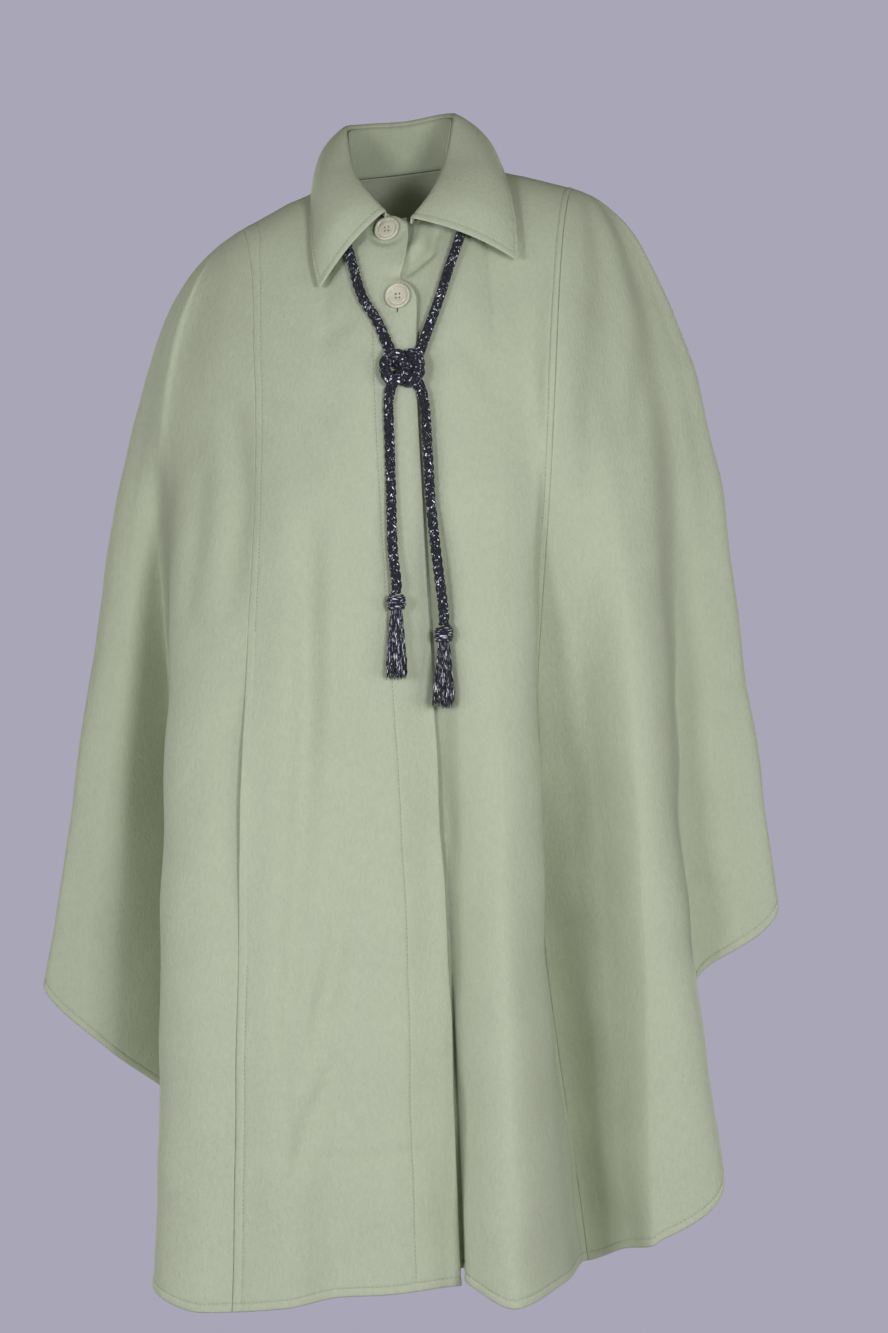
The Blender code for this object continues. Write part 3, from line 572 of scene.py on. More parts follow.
# The top of the right front's edge, above and below the notch between the buttons, in
# millimetres: height in the front view, how far the edge is drawn in, and how far it stands off
Notch = namedtuple("Notch", "z inward off")
NOTCHES = (
    Notch(-160, 0, 0),
    Notch(-118, -2, 0),
    Notch(-90, -3, 2),
    Notch(-76, 2, -1),
    Notch(-66, 12, -3),
    Notch(-56, 8, 4),
    Notch(-46, 5, 5),
    Notch(-20, 0, 5),
    Notch(10, 0, 3),
    Notch(60, 0, 0),
)
NOTCH_REACH = 0.045       # width of the edge that the notch draws with it, in metres
NOTCH_TABLE = np.array(NOTCHES, dtype=float) * MM
NOTCH_SLOPES = slopes(NOTCH_TABLE[:, 0], NOTCH_TABLE[:, 1:])

# The wings' corners are full and round: the place beside the fold line, in metres of u, and how
# much longer the cloth is there, as a share of the way down
CORNERS = (("right_wing", -0.020, 0.006), ("left_wing", 0.020, 0.018))
CORNER_REACH = 0.022
CORNER_POWER = 8          # keeps the fullness close to the hem

# Buttons press the cloth flat, from full to not at all at these distances
BUTTON_PRESS = (0.0135, 0.022)
BUTTON_SINK = 0.0003
PRESS_FACING = 0.5        # least cosine between the cloth's normal and a button's axis

# The left front's fold beside the notch: a ridge that the right edge has pushed up, and the
# trough below it
UNDER_FOLDS = (
    Crease("front", 18, -14, 13, -34, -6, -52, 8, 5.5),
    Crease("front", 28, -18, 22, -42, -4, -65, 4.8, -10.0),
)
UNDER_POWER = 0.4         # how quickly they rise from their ends

TOP_FADE = 0.02           # sewing and creases grow from nothing over this share at the top
FLY_FADE = 0.02           # and the fly's stitching over this one
SHOULDER_GROOVE = 0.0012  # depth and width of the shoulder seam
SHOULDER_WIDTH = 0.0018


def sewn_sides(panel, u, t, fade):
    """Relief of the seams and slits at the two sides of a panel."""
    rise = np.zeros(len(u))
    slit = in_slit(t)
    for side in (panel.first, panel.last):
        away = from_side(side, u, t)
        shows = seam_shows(side, t)
        rise += fade * np.maximum(shows, slit) * round_edge(away)
        if side in SLIT_LIFTS:
            near = np.maximum(0.0, 1.0 - np.abs(u - STATION[side]) / SLIT_REACH)
            if panel.welted:
                rise += SLIT_LIFTS[side] * near ** 2 * slit
                rise += fade * shows * stitched(away, STITCH_IN) * (1.0 - slit)
            else:
                rise -= SLIT_DIP * near ** 2 * slit
        elif side in SEAMS and panel.welted:
            rise += fade * stitched(away, STITCH_IN)
    return rise


def drape_fly(u, t, points, rise):
    """Stitches the right front's fly and draws its edge in at the notch."""
    away = from_side("right_edge", u, t)
    fly = smooth_step(FLY_TOP, FLY_TOP + FLY_FADE, t)
    rise -= fly * GROOVE_DEPTH * bump(away, FLY_STITCH_IN, GROOVE_WIDTH)
    z = np.clip(front_view(points)[:, 1], NOTCH_TABLE[0, 0], NOTCH_TABLE[-1, 0])
    shift = between(NOTCH_TABLE[:, 0], NOTCH_TABLE[:, 1:], NOTCH_SLOPES, z)
    near = np.clip(1.0 - away / NOTCH_REACH, 0.0, 1.0) ** 2
    points[:, 0] -= shift[:, 0] * near
    rise += shift[:, 1] * near


def press_at_buttons(points, normals, rise):
    """Lays the right front flat under its buttons."""
    for button in BUTTONS:
        away = points - button[1:4]
        pressed = 1.0 - smooth_step(*BUTTON_PRESS, lengths_of(away))
        facing = np.maximum(normals @ button[4:7], PRESS_FACING)
        flat = -(away @ button[4:7] + BUTTON_SINK) / facing
        rise += pressed * (flat - rise)


def draped(panel, u, t, crease_depth):
    """Points and normals of a panel with its sewing, creases and unevenness."""
    hem = from_hem(u, t)
    for wing, beside, longer in CORNERS:
        fuller = bump(u, STATION[wing] + beside, CORNER_REACH)
        t = t * (1.0 + longer * t ** CORNER_POWER * fuller)
    points, normals, _, _ = cloth_frame(u, t)
    lines, _, top = cloth_lines(u)
    fade = smooth_step(0.0, TOP_FADE, t)
    up = leaned(np.sign(top) * SHOULDER_SLOPE, 0.0 * top, np.ones(len(top)))
    on_shoulder = np.abs(top) > 1.0
    seam = on_shoulder * (1.0 - fade)
    normals = unit(normals * (1.0 - seam)[:, None] + unit(up) * seam[:, None])
    rise = fade * (unevenness(points) + crease_depth * creased(points, normals))
    rise += stitched(hem, STITCH_IN) + round_edge(hem)
    groove = bump(lengths_of(points - lines[:, 0]), 0.0, SHOULDER_WIDTH)
    rise -= SHOULDER_GROOVE * groove * on_shoulder
    rise += sewn_sides(panel, u, t, fade)
    if panel.node == "front_left":
        view = front_view(points)
        for fold in UNDER_FOLDS:
            rise += fade * crease_height(fold, view, UNDER_POWER)
    if panel.node == "front_right":
        drape_fly(u, t, points, rise)
        press_at_buttons(points, normals, rise)
    return points + normals * rise[:, None], normals


def panel_grid(panel):
    """Column numbers and row numbers of a panel's grid, and the way from them to u and t."""
    start = fine_lines(panel, panel.first)
    end = fine_lines(panel, panel.last)[::-1]
    low, high = STATION[panel.first], STATION[panel.last]
    middle = max(2, round((high - low - start[-1] - end[0]) / STEP))
    blend = np.concatenate((np.zeros(len(start)), np.linspace(0.0, 1.0, middle + 1)[1:-1],
                            np.ones(len(end))))
    near_start = np.concatenate((start, np.full(len(blend) - len(start), start[-1])))
    near_end = np.concatenate((np.full(len(blend) - len(end), end[0]), end))
    hem = np.array(FINE["welt"])[::-1] * MM
    top = np.array(FINE["top"])
    main = np.linspace(top[-1], 1.0, round(CLOTH_LENGTH / STEP))[1:-1]
    down = np.concatenate((top, main, np.ones(len(hem))))
    near_hem = np.concatenate((np.full(len(top) + len(main), hem[0]), hem))

    def to_cloth(column, row):
        column = column.astype(int)
        row = row.astype(int)
        around = low + (high - low) * blend[column]
        t = down[row] - near_hem[row] / np.interp(around, ROUND, HEM_SCALES) * down[row]
        first = np.interp(t, SHARES, SIDE_SCALES[panel.first])
        last = np.interp(t, SHARES, SIDE_SCALES[panel.last])
        u = (1.0 - blend[column]) * (low + near_start[column] / first)
        return u + blend[column] * (high - near_end[column] / last), np.clip(t, 0.0, 1.0)

    return np.arange(len(blend)), np.arange(len(down)), to_cloth


def thicken(piece, thickness):
    """Gives a cloth piece its thickness, inward."""
    wall = piece.modifiers.new("Thickness", "SOLIDIFY")
    wall.thickness = thickness
    wall.offset = -1.0
    wall.use_rim = True


def add_stitches(bm, points, normals):
    """A row of sunk stitches along a line of points."""
    along = path_lengths(points)
    for place in np.arange(STITCH_PITCH / 2.0, along[-1], STITCH_PITCH):
        ends = [np.array([np.interp(place + d, along, points[:, k]) for k in range(3)])
                for d in (-STITCH_LENGTH / 2.0, STITCH_LENGTH / 2.0)]
        normal = Vector([np.interp(place, along, normals[:, k]) for k in range(3)])
        way = Vector(ends[1] - ends[0])
        if way.length < STITCH_LEAST:
            continue
        side = normal.cross(way).normalized()
        normal = way.cross(side).normalized()
        matrix = placed((way / 2.0, side * THREAD / 2.0, normal * THREAD / 2.0),
                        Vector((ends[0] + ends[1]) / 2.0) + normal * THREAD * THREAD_OUT)
        bmesh.ops.create_icosphere(bm, subdivisions=1, radius=1.0, matrix=matrix)


def bmesh_piece(name, bm, material, slot, *nodes):
    """Turns a bmesh into a smooth piece."""
    mesh = mesh_of(name, bm)
    mesh.shade_smooth()
    return add_piece(name, mesh, material, slot, *nodes)


def panel_stitches(panel):
    """Lines of stitches on a panel: along the hem, the welts and the fly."""
    around = np.linspace(STATION[panel.first], STATION[panel.last], HEM_SAMPLES)
    lines = [(around, 1.0 - STITCH_IN / np.interp(around, ROUND, HEM_SCALES))]
    if not panel.welted:
        return lines
    for side, way in ((panel.first, 1.0), (panel.last, -1.0)):
        if side not in SEAMS:
            continue
        last = 1.0 - STITCH_IN / np.interp(STATION[side], ROUND, HEM_SCALES)
        spans = ((STITCH_TOP, last),)
        if side in SLIT_LIFTS:
            spans = ((STITCH_TOP, SLIT_TOP), (SLIT_END, last))
        for low, high in spans:
            t = np.linspace(low, high, SEAM_SAMPLES)
            scale = np.interp(t, SHARES, SIDE_SCALES[side])
            lines.append((STATION[side] + way * STITCH_IN / scale, t))
    if panel.node == "front_right":
        t = np.linspace(FLY_TOP, 1.0 - STITCH_IN / HEM_SCALES[0], SEAM_SAMPLES)
        lines.append((FLY_STITCH_IN / np.interp(t, SHARES, SIDE_SCALES["right_edge"]), t))
    return lines


def make_panel(panel, wool, thread, cape):
    """A wool panel with its stitches."""
    name = panel.node + "_cloth"
    columns, rows, to_cloth = panel_grid(panel)

    def place(_, column, row):
        return draped(panel, *to_cloth(column, row), cape.crease_depth)[0]

    mesh = grids(name, 1, columns, rows, place)
    piece = add_piece(name, closed(mesh), wool, "wool", panel.node)
    thicken(piece, cape.cloth_thickness)
    bm = bmesh.new()
    for u, t in panel_stitches(panel):
        add_stitches(bm, *draped(panel, u, t, cape.crease_depth))
    stitches = bmesh_piece(panel.node + "_stitches", bm, thread, "wool")


# Collar sections from the right point round the back to the left one, in millimetres: neck is
# the angle of the seam below in degrees, 0 in front, positive to the left.
Section = namedtuple("Section", "name neck roll_x roll_y roll_z edge_x edge_y edge_z bow")
COLLAR_SECTIONS = (
    Section("right_point", -8, -21, -94, -15, -86, -99, -93, 8),
    Section("right_leaf", -32, -37, -80, 5, -93, -82, -54, 12),
    Section("right_shoulder", -62, -56, -47, 38, -95, -48, -8, 12),
    Section("right_side", -95, -64, 0, 84, -91, 10, 27, 9),
    Section("right_back", -137, -42, 45, 95, -77, 61, 3, 9),
    Section("back", -180, -6, 61, 100, -4, 93, 11, 8),
    Section("left_back", -223, 32, 45, 104, 72, 63, 18, 9),
    Section("left_side", -265, 48, 0, 97, 90, 10, 45, 9),
    Section("left_shoulder", -298, 38, -47, 43, 100, -48, 18, 12),
    Section("left_leaf", -328, 24, -75, 9, 107, -74, -24, 13),
    Section("left_point", -352, 4, -92, -21, 110, -92, -64, 9),
)
COLLAR_STEPS = 14         # grid steps between two sections
FALL_STEPS = 34
ROLL_DEPTH = 0.004        # how far the roll turns inward, and its drop against that
ROLL_DROP = 1.2
ROLL_SHARE = 0.12         # share of the fall that lies inside the roll
BOW_RISE = 0.5
BOW_SHAPE = 0.8
COLLAR_UNEVEN = 0.5       # the collar is smoother than the panels by this share
STAND_CLEAR = 0.0002      # gap between the stand's foot and the neck seam
STAND_STEPS = 12
STAND_SHORT = 0.22        # the stand ends this share of a section behind the fall's ends
POINT_ROUND = 0.009       # rounding of the collar's points
SECTION_STEP = 0.01
FALL_STEP = 0.01
SECTION_TABLE = np.array([section[1:] for section in COLLAR_SECTIONS], dtype=float)
SECTION_TABLE[:, 1:] *= MM
SECTION_PLACES = np.arange(len(COLLAR_SECTIONS), dtype=float)
LAST_SECTION = SECTION_PLACES[-1]
SECTION_SLOPES = slopes(SECTION_PLACES, SECTION_TABLE)
TINY = 1e-6
LEFT, BACK, UP = np.eye(3)


def fall_at(place, w):
    """Outer surface of the turned-down collar, from inside the roll (0) to its edge (1)."""
    row = between(SECTION_PLACES, SECTION_TABLE, SECTION_SLOPES, place)
    roll, edge, bow = row[:, 1:4], row[:, 4:7], row[:, 7:8]
    axis = np.column_stack((np.full(len(row), NECK_AXIS_X), np.zeros(len(row)), roll[:, 2]))
    inward = unit(axis - roll)
    turn = np.clip(1.0 - w / ROLL_SHARE, 0.0, 1.0)[:, None] * pi / 2.0
    inside = roll + ROLL_DEPTH * (inward * np.sin(turn) - UP * ROLL_DROP * (1.0 - np.cos(turn)))
    f = np.clip((w - ROLL_SHARE) / (1.0 - ROLL_SHARE), 0.0, 1.0)[:, None]
    out = UP * BOW_RISE - inward
    leaf = roll + (edge - roll) * f + out * bow * np.sin(pi * f) ** BOW_SHAPE
    return np.where((w <= ROLL_SHARE)[:, None], inside, leaf)


def fall_frame(place, w):
    """Points, normals and the steps for one unit of place and one of w on the fall."""
    steps = surface_steps(fall_at, place, w, LAST_SECTION, SECTION_STEP, FALL_STEP)
    return fall_at(place, w), *steps


def fall_distances(place, w):
    """Distances over the fall from its long edge and from its nearer front end."""
    end = np.where(place < LAST_SECTION / 2.0, 0.0, LAST_SECTION)
    long_way = lengths_of(fall_frame(place, np.ones(len(w)))[3])
    short_way = lengths_of(fall_frame(end, w)[2])
    return (1.0 - w) * long_way, np.abs(place - end) * short_way


def fall_surface(place, w):
    """The fall with its stitched edge, rounded points and unevenness."""
    points, normals, across, down = fall_frame(place, w)
    edge, front = fall_distances(place, w)
    near = np.minimum(edge, front)
    rise = COLLAR_SHOWS * stitched(near, COLLAR_STITCH_IN) + round_edge(near)
    rise += COLLAR_UNEVEN * unevenness(points)
    square = np.clip(1.0 - np.column_stack((edge, front)) / POINT_ROUND, 0.0, 1.0)
    length = np.maximum(lengths_of(square), TINY)
    cut = (1.0 - square.max(axis=1) / length)[:, None] * square * POINT_ROUND
    toward = np.where(place < LAST_SECTION / 2.0, 1.0, -1.0)[:, None]
    points = points - unit(down) * cut[:, :1] + unit(across) * toward * cut[:, 1:]
    return points + normals * rise[:, None], normals


def stand_surface(place, w):
    """The stand, from the neck seam to the inside of the roll."""
    row = between(SECTION_PLACES, SECTION_TABLE, SECTION_SLOPES, place)
    foot = neck_points(np.radians(row[:, 0])) + UP * STAND_CLEAR
    head = fall_at(place, np.zeros(len(w)))
    return foot + (head - foot) * w[:, None]


def fall_places():
    """Columns and rows of the fall's grid, closer together at its edges."""
    edge = np.array(FINE["welt"]) * MM
    fine = edge / lengths_of(fall_frame(np.array((0.0,)), np.array((0.5,)))[2])
    count = (len(COLLAR_SECTIONS) - 1) * COLLAR_STEPS
    main = np.linspace(0.0, LAST_SECTION, count + 1)
    main = main[(main > fine[-1]) & (main < LAST_SECTION - fine[-1])]
    columns = np.concatenate((fine, main, (LAST_SECTION - fine)[::-1]))
    fine = 1.0 - edge[::-1] / lengths_of(fall_frame(np.array((LAST_SECTION / 2.0,)), np.ones(1))[3])
    main = np.linspace(0.0, 1.0, FALL_STEPS)
    return columns, np.concatenate((main[main < fine[0]], fine))


def collar_stitches():
    """Lines of stitches on the fall: along its edge and its two front ends."""
    along = np.linspace(0.0, 1.0, COLLAR_SAMPLES)
    first = COLLAR_STITCH_IN / lengths_of(fall_frame(0.0 * along, along)[2])
    last = COLLAR_STITCH_IN / lengths_of(fall_frame(0.0 * along + LAST_SECTION, along)[2])
    places = along * (LAST_SECTION - 2.0 * first[-1]) + first[-1]
    corner = 1.0 - COLLAR_STITCH_IN / lengths_of(fall_frame(places, 0.0 * along + 1.0)[3])
    return ((places, corner),
            (first, along * (corner[0] - ROLL_SHARE) + ROLL_SHARE),
            (LAST_SECTION - last, along * (corner[-1] - ROLL_SHARE) + ROLL_SHARE))


def make_collar(wool, thread, thickness):
    """The stand and the turned-down fall with its edge stitching."""
    columns, rows = fall_places()
    fall = grids("collar_fall_cloth", 1, columns, rows,
                 lambda _, place, w: fall_surface(place, w)[0])
    fall = add_piece("collar_fall_cloth", closed(fall), wool, "wool", "collar_fall")
    thicken(fall, thickness)
    short = columns[(columns > STAND_SHORT) & (columns < LAST_SECTION - STAND_SHORT)]
    stand = closed(grids("collar_stand_cloth", 1, short, np.linspace(0.0, 1.0, STAND_STEPS),
                         lambda _, place, w: stand_surface(place, w)))
    stand.flip_normals()
    stand = add_piece("collar_stand_cloth", stand, wool, "wool", "collar_stand")
    thicken(stand, thickness)
    bm = bmesh.new()
    for place, w in collar_stitches():
        add_stitches(bm, *fall_surface(place, w))
    stitches = bmesh_piece("collar_stitches", bm, thread, "wool")


# Neck tie: the route of each half from the centre back under the collar, through the knot to its
# tassel, as x, y and z in millimetres. In the knot's stretch the cord is drawn fuller.
RIGHT_ROUTE = (
    (-6.6, 65.8, 52.8), (-16.9, 65.8, 51.5), (-40.8, 58.1, 47.9), (-66.9, 36.8, 42.7),
    (-78.4, 9.2, 38.8), (-76.6, -15.8, 31.4), (-66.4, -37.9, 16.5), (-62.3, -84.9, -29.0),
    (-53.4, -98.8, -63.7), (-43.0, -113.3, -99.2), (-27.3, -122.0, -125.6),
    (-13.0, -128.3, -159.4), (-7.2, -129.3, -165.7), (-3.6, -128.8, -162.6), (0.6, -129.9, -158.8),
    (5.3, -135.5, -157.2), (10.3, -136.9, -160.8), (12.5, -138.4, -169.9), (10.3, -139.9, -179.0),
    (5.3, -139.7, -182.9), (0.6, -133.8, -183.1), (-3.6, -131.6, -179.9), (-7.2, -131.1, -176.8),
    (-13.0, -132.2, -183.1), (-16.9, -136.7, -203.1), (-15.6, -143.3, -249.2),
    (-14.2, -150.9, -296.0), (-12.6, -158.6, -343.9), (-9.1, -164.9, -374.7),
    (-9.1, -166.7, -386.6),
)
LEFT_ROUTE = (
    (-6.3, 65.8, 52.8), (3.9, 65.8, 54.1), (28.0, 58.1, 56.3), (54.6, 36.8, 57.6),
    (66.7, 9.2, 56.6), (66.7, -15.8, 49.0), (60.5, -37.9, 32.1), (58.6, -72.4, -9.9),
    (51.7, -91.9, -37.9), (39.9, -108.4, -73.9), (31.9, -116.8, -100.4), (23.0, -123.1, -125.7),
    (9.8, -128.5, -160.8), (4.8, -129.5, -166.8), (0.6, -134.8, -165.9), (-3.5, -137.2, -162.2),
    (-8.1, -136.6, -158.0), (-13.1, -136.4, -157.1), (-18.1, -137.1, -160.8),
    (-20.3, -138.6, -169.9), (-18.1, -140.0, -179.0), (-13.1, -140.6, -182.7),
    (-8.1, -140.4, -181.7), (-3.5, -139.7, -177.6), (0.6, -136.3, -174.8), (4.8, -130.9, -175.7),
    (9.8, -131.9, -181.7), (17.1, -136.0, -203.2), (20.4, -142.0, -249.3), (23.1, -148.3, -296.1),
    (28.1, -155.3, -343.9), (33.4, -161.4, -384.6), (35.7, -164.4, -404.9), (35.7, -165.5, -416.8),
)
RIGHT_KNOT = slice(11, 24)
LEFT_KNOT = slice(12, 27)
KNOT_FULL = 1.18
CORD = 0.0105
BRAID_STEP = 0.0014
STRANDS = 8               # half of them turn each way, two over and two under
BRAID_PITCH = 0.036
STRAND_SIDES = 8
BRAID_RADIUS = 0.310      # the strands' middle, their lift, half width and half thickness, as
BRAID_LIFT = 0.060        # shares of the cord
STRAND_WIDE = 0.205
STRAND_THICK = 0.130
STRAND_SHIFT = 0.731      # sets the film of one strand off from the next one's, in metres

# Tassels: middle of the head, way up along the tassel and length of the skirt
Tassel = namedtuple("Tassel", "name x y z up_y up_z skirt")
TASSELS = (
    Tassel("tassel_right", -0.0091, -0.1678, -0.3948, 0.1435, 0.9897, 0.064),
    Tassel("tassel_left", 0.0357, -0.1663, -0.4251, 0.0927, 0.9957, 0.061),
)
Half = namedtuple("Half", "side route knot tassel")
HALVES = (
    Half("right", RIGHT_ROUTE, RIGHT_KNOT, TASSELS[0]),
    Half("left", LEFT_ROUTE, LEFT_KNOT, TASSELS[1]),
)
HEAD_RADIUS = 0.0095
HEAD_HALF = 0.0080
HEAD_CORE = (0.86, 0.86, 0.92)  # the ball under the turns, against the head
HEAD_STEPS = (20, 12)
HEAD_ROUND = 0.72         # how much the head narrows to its ends
WINDS = 12                # turns of yarn round the head
WIND_SPAN = (-0.72, 0.80)  # from the lowest turn to the highest, against half the head
WIND_TILT = 0.36          # most that a turn runs askew
WIND_STEPS = 32
WIND_SIDES = 6
WIND_THICK = 0.0013
YARNS = 120
YARN_STEPS = 15
YARN_SIDES = 6
YARN_THICK = 0.00068
SKIRT_TOP = 0.0046        # radius of the skirt under the head and at its end
SKIRT_END = 0.0094
SKIRT_FLARE = 0.8
SKIRT_START = 0.6         # the yarns leave the head here, against half the head
YARN_HIDDEN = 0.4         # and have this much more length inside it
YARN_LENGTHS = (0.90, 1.04)
YARN_SIZES = (0.85, 1.2)
YARN_TURN = pi * (3.0 - 5.0 ** 0.5)  # from one yarn to the next, so that they fill a circle
YARN_ASIDE = 0.2          # most that a yarn stands aside of that
YARN_LEAN = 0.0011
YARN_SHIFT = 0.417        # sets the film of one yarn off from the next one's, in metres
YARN_WAVE = 0.0006
YARN_WAVE_LENGTH = 0.013
YARN_SEED = 11
LOOSE_SILVER = 0.035      # the loose yarns show more of their film


def smooth_route(route, knot):
    """Points of a smooth curve through the route, and the cord's thickness at each, a share."""
    shares = np.ones((len(route), 1))
    shares[knot] = KNOT_FULL
    route = np.hstack((np.array(route) * MM, shares))
    ends = np.vstack((route[:1], route, route[-1:]))
    rows = []
    for a, b, c, d in zip(ends, ends[1:], ends[2:], ends[3:]):
        count = max(1, round(np.linalg.norm((c - b)[:3]) / BRAID_STEP))
        f = (np.arange(count) / count)[:, None]
        rows.append(b + (c - a) * 0.5 * f + (a - 2.5 * b + 2.0 * c - 0.5 * d) * f ** 2
                    + (1.5 * (b - c) + 0.5 * (d - a)) * f ** 3)
    rows = np.vstack(rows + [route[-1:]])
    return rows[:, :3], np.clip(rows[:, 3], 1.0, KNOT_FULL)


def path_frames(points):
    """Directions along a path and two across it that turn no more than they must."""
    along = unit(np.gradient(points, axis=0))
    side = np.zeros_like(points)
    axis = UP
    for index, way in enumerate(along):
        axis = axis - axis.dot(way) * way
        axis = axis / np.linalg.norm(axis)
        side[index] = axis
    return along, side, np.cross(along, side)


def make_braid(half, yarn, diameter, pitch):
    """Half of the tie: a round braid of strands that pass over two and under two."""
    name = "tie_braid_" + half.side
    points, shares = smooth_route(half.route, half.knot)
    along, side, over = path_frames(points)
    lengths = path_lengths(points)
    each_way = STRANDS // 2
    slant = np.arctan(2.0 * pi * BRAID_RADIUS * diameter / pitch)
    tips = np.ones(len(points))
    tips[[0, -1]] = 0.0

    def place(number, column, row):
        index = column.astype(int)
        way = np.where(number < each_way, 1.0, -1.0)
        angle = way * 2.0 * pi * lengths[index] / pitch + number * 2.0 * pi / each_way
        lift = way * np.cos(each_way / 2.0 * angle - pi / 4.0) * BRAID_LIFT
        angle, way = angle[:, None], way[:, None]
        out = side[index] * np.cos(angle) + over[index] * np.sin(angle)
        beside = over[index] * np.cos(angle) - side[index] * np.sin(angle)
        wide = beside * cos(slant) - way * along[index] * sin(slant)
        size = (shares[index] * diameter)[:, None]
        turn = 2.0 * pi * row[:, None]
        section = out * np.cos(turn) * STRAND_THICK + wide * np.sin(turn) * STRAND_WIDE
        middle = points[index] + out * size * (BRAID_RADIUS + lift)[:, None]
        return middle + section * size * tips[index][:, None]

    def uv(number, column, row):
        return np.column_stack((lengths[column.astype(int)] + STRAND_SHIFT * number,
                                row + number))

    mesh = grids(name, STRANDS, np.arange(len(points)), np.linspace(0.0, 1.0, STRAND_SIDES + 1),
                 place, uv)
    piece = add_piece(name, closed(mesh, True), yarn, "cord", "tie_cord_" + half.side)
    return piece, points, float(lengths[-1])


def stood(origin, up):
    """Matrix that stands local Z on up at origin, with local X to the wearer's left."""
    z_axis = Vector(up).normalized()
    y_axis = z_axis.cross(Vector((1.0, 0.0, 0.0))).normalized()
    return placed((y_axis.cross(z_axis), y_axis, z_axis), origin)


def moved(points, matrix):
    """Points carried to their place by a matrix."""
    turn = np.array(matrix)
    return points @ turn[:3, :3].T + turn[:3, 3]


def tubes(middles, sides, ups, radius, share):
    """Points of round tubes, a share of the way round their middle lines."""
    turn = 2.0 * pi * share[:, None]
    return middles + radius[:, None] * (sides * np.cos(turn) + ups * np.sin(turn))


def make_tassel(tassel, yarn):
    """A bound head with a skirt of loose yarns."""
    matrix = stood(tassel[1:4], (0.0, tassel.up_y, tassel.up_z))
    chance = np.random.default_rng(YARN_SEED + len(tassel.name))
    heights = np.linspace(*WIND_SPAN, WINDS) * HEAD_HALF
    tilts = chance.uniform(-WIND_TILT, WIND_TILT, WINDS)
    aims = chance.uniform(0.0, 2.0 * pi, WINDS)

    def wound(number, column, row):
        angle = 2.0 * pi * column / WIND_STEPS
        height = heights[number] / HEAD_HALF
        reach = (HEAD_RADIUS - WIND_THICK) * np.sqrt(1.0 - HEAD_ROUND * height * height)
        out = np.column_stack((np.cos(angle), np.sin(angle), 0.0 * angle))
        rise = heights[number] + tilts[number] * reach * np.cos(angle - aims[number])
        middle = out * reach[:, None] + np.outer(rise, UP)
        return moved(tubes(middle, out, UP, np.full(len(out), WIND_THICK), row), matrix)

    def wound_uv(number, column, row):
        return np.column_stack((column / WIND_STEPS * 2.0 * pi * HEAD_RADIUS + number, row))

    head = grids(tassel.name + "_head", WINDS, np.arange(WIND_STEPS + 1),
                 np.linspace(0.0, 1.0, WIND_SIDES + 1), wound, wound_uv)
    bm = bmesh.new()
    bm.from_mesh(head)
    half_axes = np.array((HEAD_RADIUS, HEAD_RADIUS, HEAD_HALF)) * HEAD_CORE
    add_ball(bm, HEAD_STEPS, matrix @ Matrix.Diagonal((*half_axes, 1.0)))
    bm.to_mesh(head)
    bm.free()
    head = add_piece(tassel.name + "_head", closed(head, True), yarn, "tassel", tassel.name)

    spread = np.sqrt((np.arange(YARNS) + 0.5) / YARNS)
    round_at = np.arange(YARNS) * YARN_TURN + chance.uniform(-YARN_ASIDE, YARN_ASIDE, YARNS)
    lengths = tassel.skirt * chance.uniform(*YARN_LENGTHS, YARNS) + HEAD_HALF * YARN_HIDDEN
    phases = chance.uniform(0.0, 2.0 * pi, (YARNS, 2))
    leans = chance.normal(0.0, YARN_LEAN, (YARNS, 2))
    sizes = YARN_THICK * chance.uniform(*YARN_SIZES, YARNS)
    last = YARN_STEPS - 1

    def hung(number, column, row):
        f = column / last
        reach = spread[number] * (SKIRT_TOP + (SKIRT_END - SKIRT_TOP) * f ** SKIRT_FLARE)
        wave = 2.0 * pi * lengths[number] * f / YARN_WAVE_LENGTH
        aside = (np.column_stack((np.cos(round_at[number]), np.sin(round_at[number])))
                 * reach[:, None] + leans[number] * f[:, None]
                 + YARN_WAVE * f[:, None] * np.sin(wave[:, None] + phases[number]))
        middle = np.column_stack((aside, -HEAD_HALF * SKIRT_START - lengths[number] * f))
        size = sizes[number] * np.where((column == 0) | (column == last), 0.0, 1.0)
        return moved(tubes(middle, LEFT, BACK, size, row), matrix)

    def hung_uv(number, column, row):
        return np.column_stack((column / last * lengths[number] + YARN_SHIFT * number,
                                row + number))

    skirt = grids(tassel.name + "_skirt", YARNS, np.arange(YARN_STEPS),
                  np.linspace(0.0, 1.0, YARN_SIDES + 1), hung, hung_uv)
    skirt = add_piece(tassel.name + "_skirt", closed(skirt, True), yarn, "tassel")
    return head, skirt


# Buttons: places, normals and the turned profile, radius and height in millimetres
Button = namedtuple("Button", "node x y z out_x out_y out_z")
BUTTONS = (
    Button("button_top", -0.0191, -0.0816, -0.0307, -0.30, -0.90, 0.32),
    Button("button_lower", -0.0081, -0.1122, -0.0993, -0.25, -0.95, 0.19),
)
BUTTON_PROFILE = (
    (0.0, 2.50), (3.0, 2.52), (6.0, 2.70), (7.6, 2.95), (8.2, 2.80), (8.6, 2.35), (9.0, 2.30),
    (9.4, 2.70), (9.8, 3.60), (10.4, 4.25), (11.2, 4.50), (11.9, 4.25), (12.35, 3.55),
    (12.5, 2.60), (12.3, 1.50), (11.6, 0.70), (10.4, 0.30), (8.0, 0.20), (0.0, 0.20),
)
BUTTON_STEPS = 72
HOLE_OUT = 0.0026         # the four holes, from the middle
HOLE_RADIUS = 0.00100
HOLE_STEPS = 20
DRILL = 0.010             # length of the drill that makes them
BUTTON_SHARP = radians(40.0)
BUTTON_THREAD = 0.0010
BUTTON_THREAD_STEPS = (10, 8)
THREAD_REACH = 1.25       # the thread's length against the way between two holes
THREAD_HEIGHT = 0.0014    # and its height in the dish
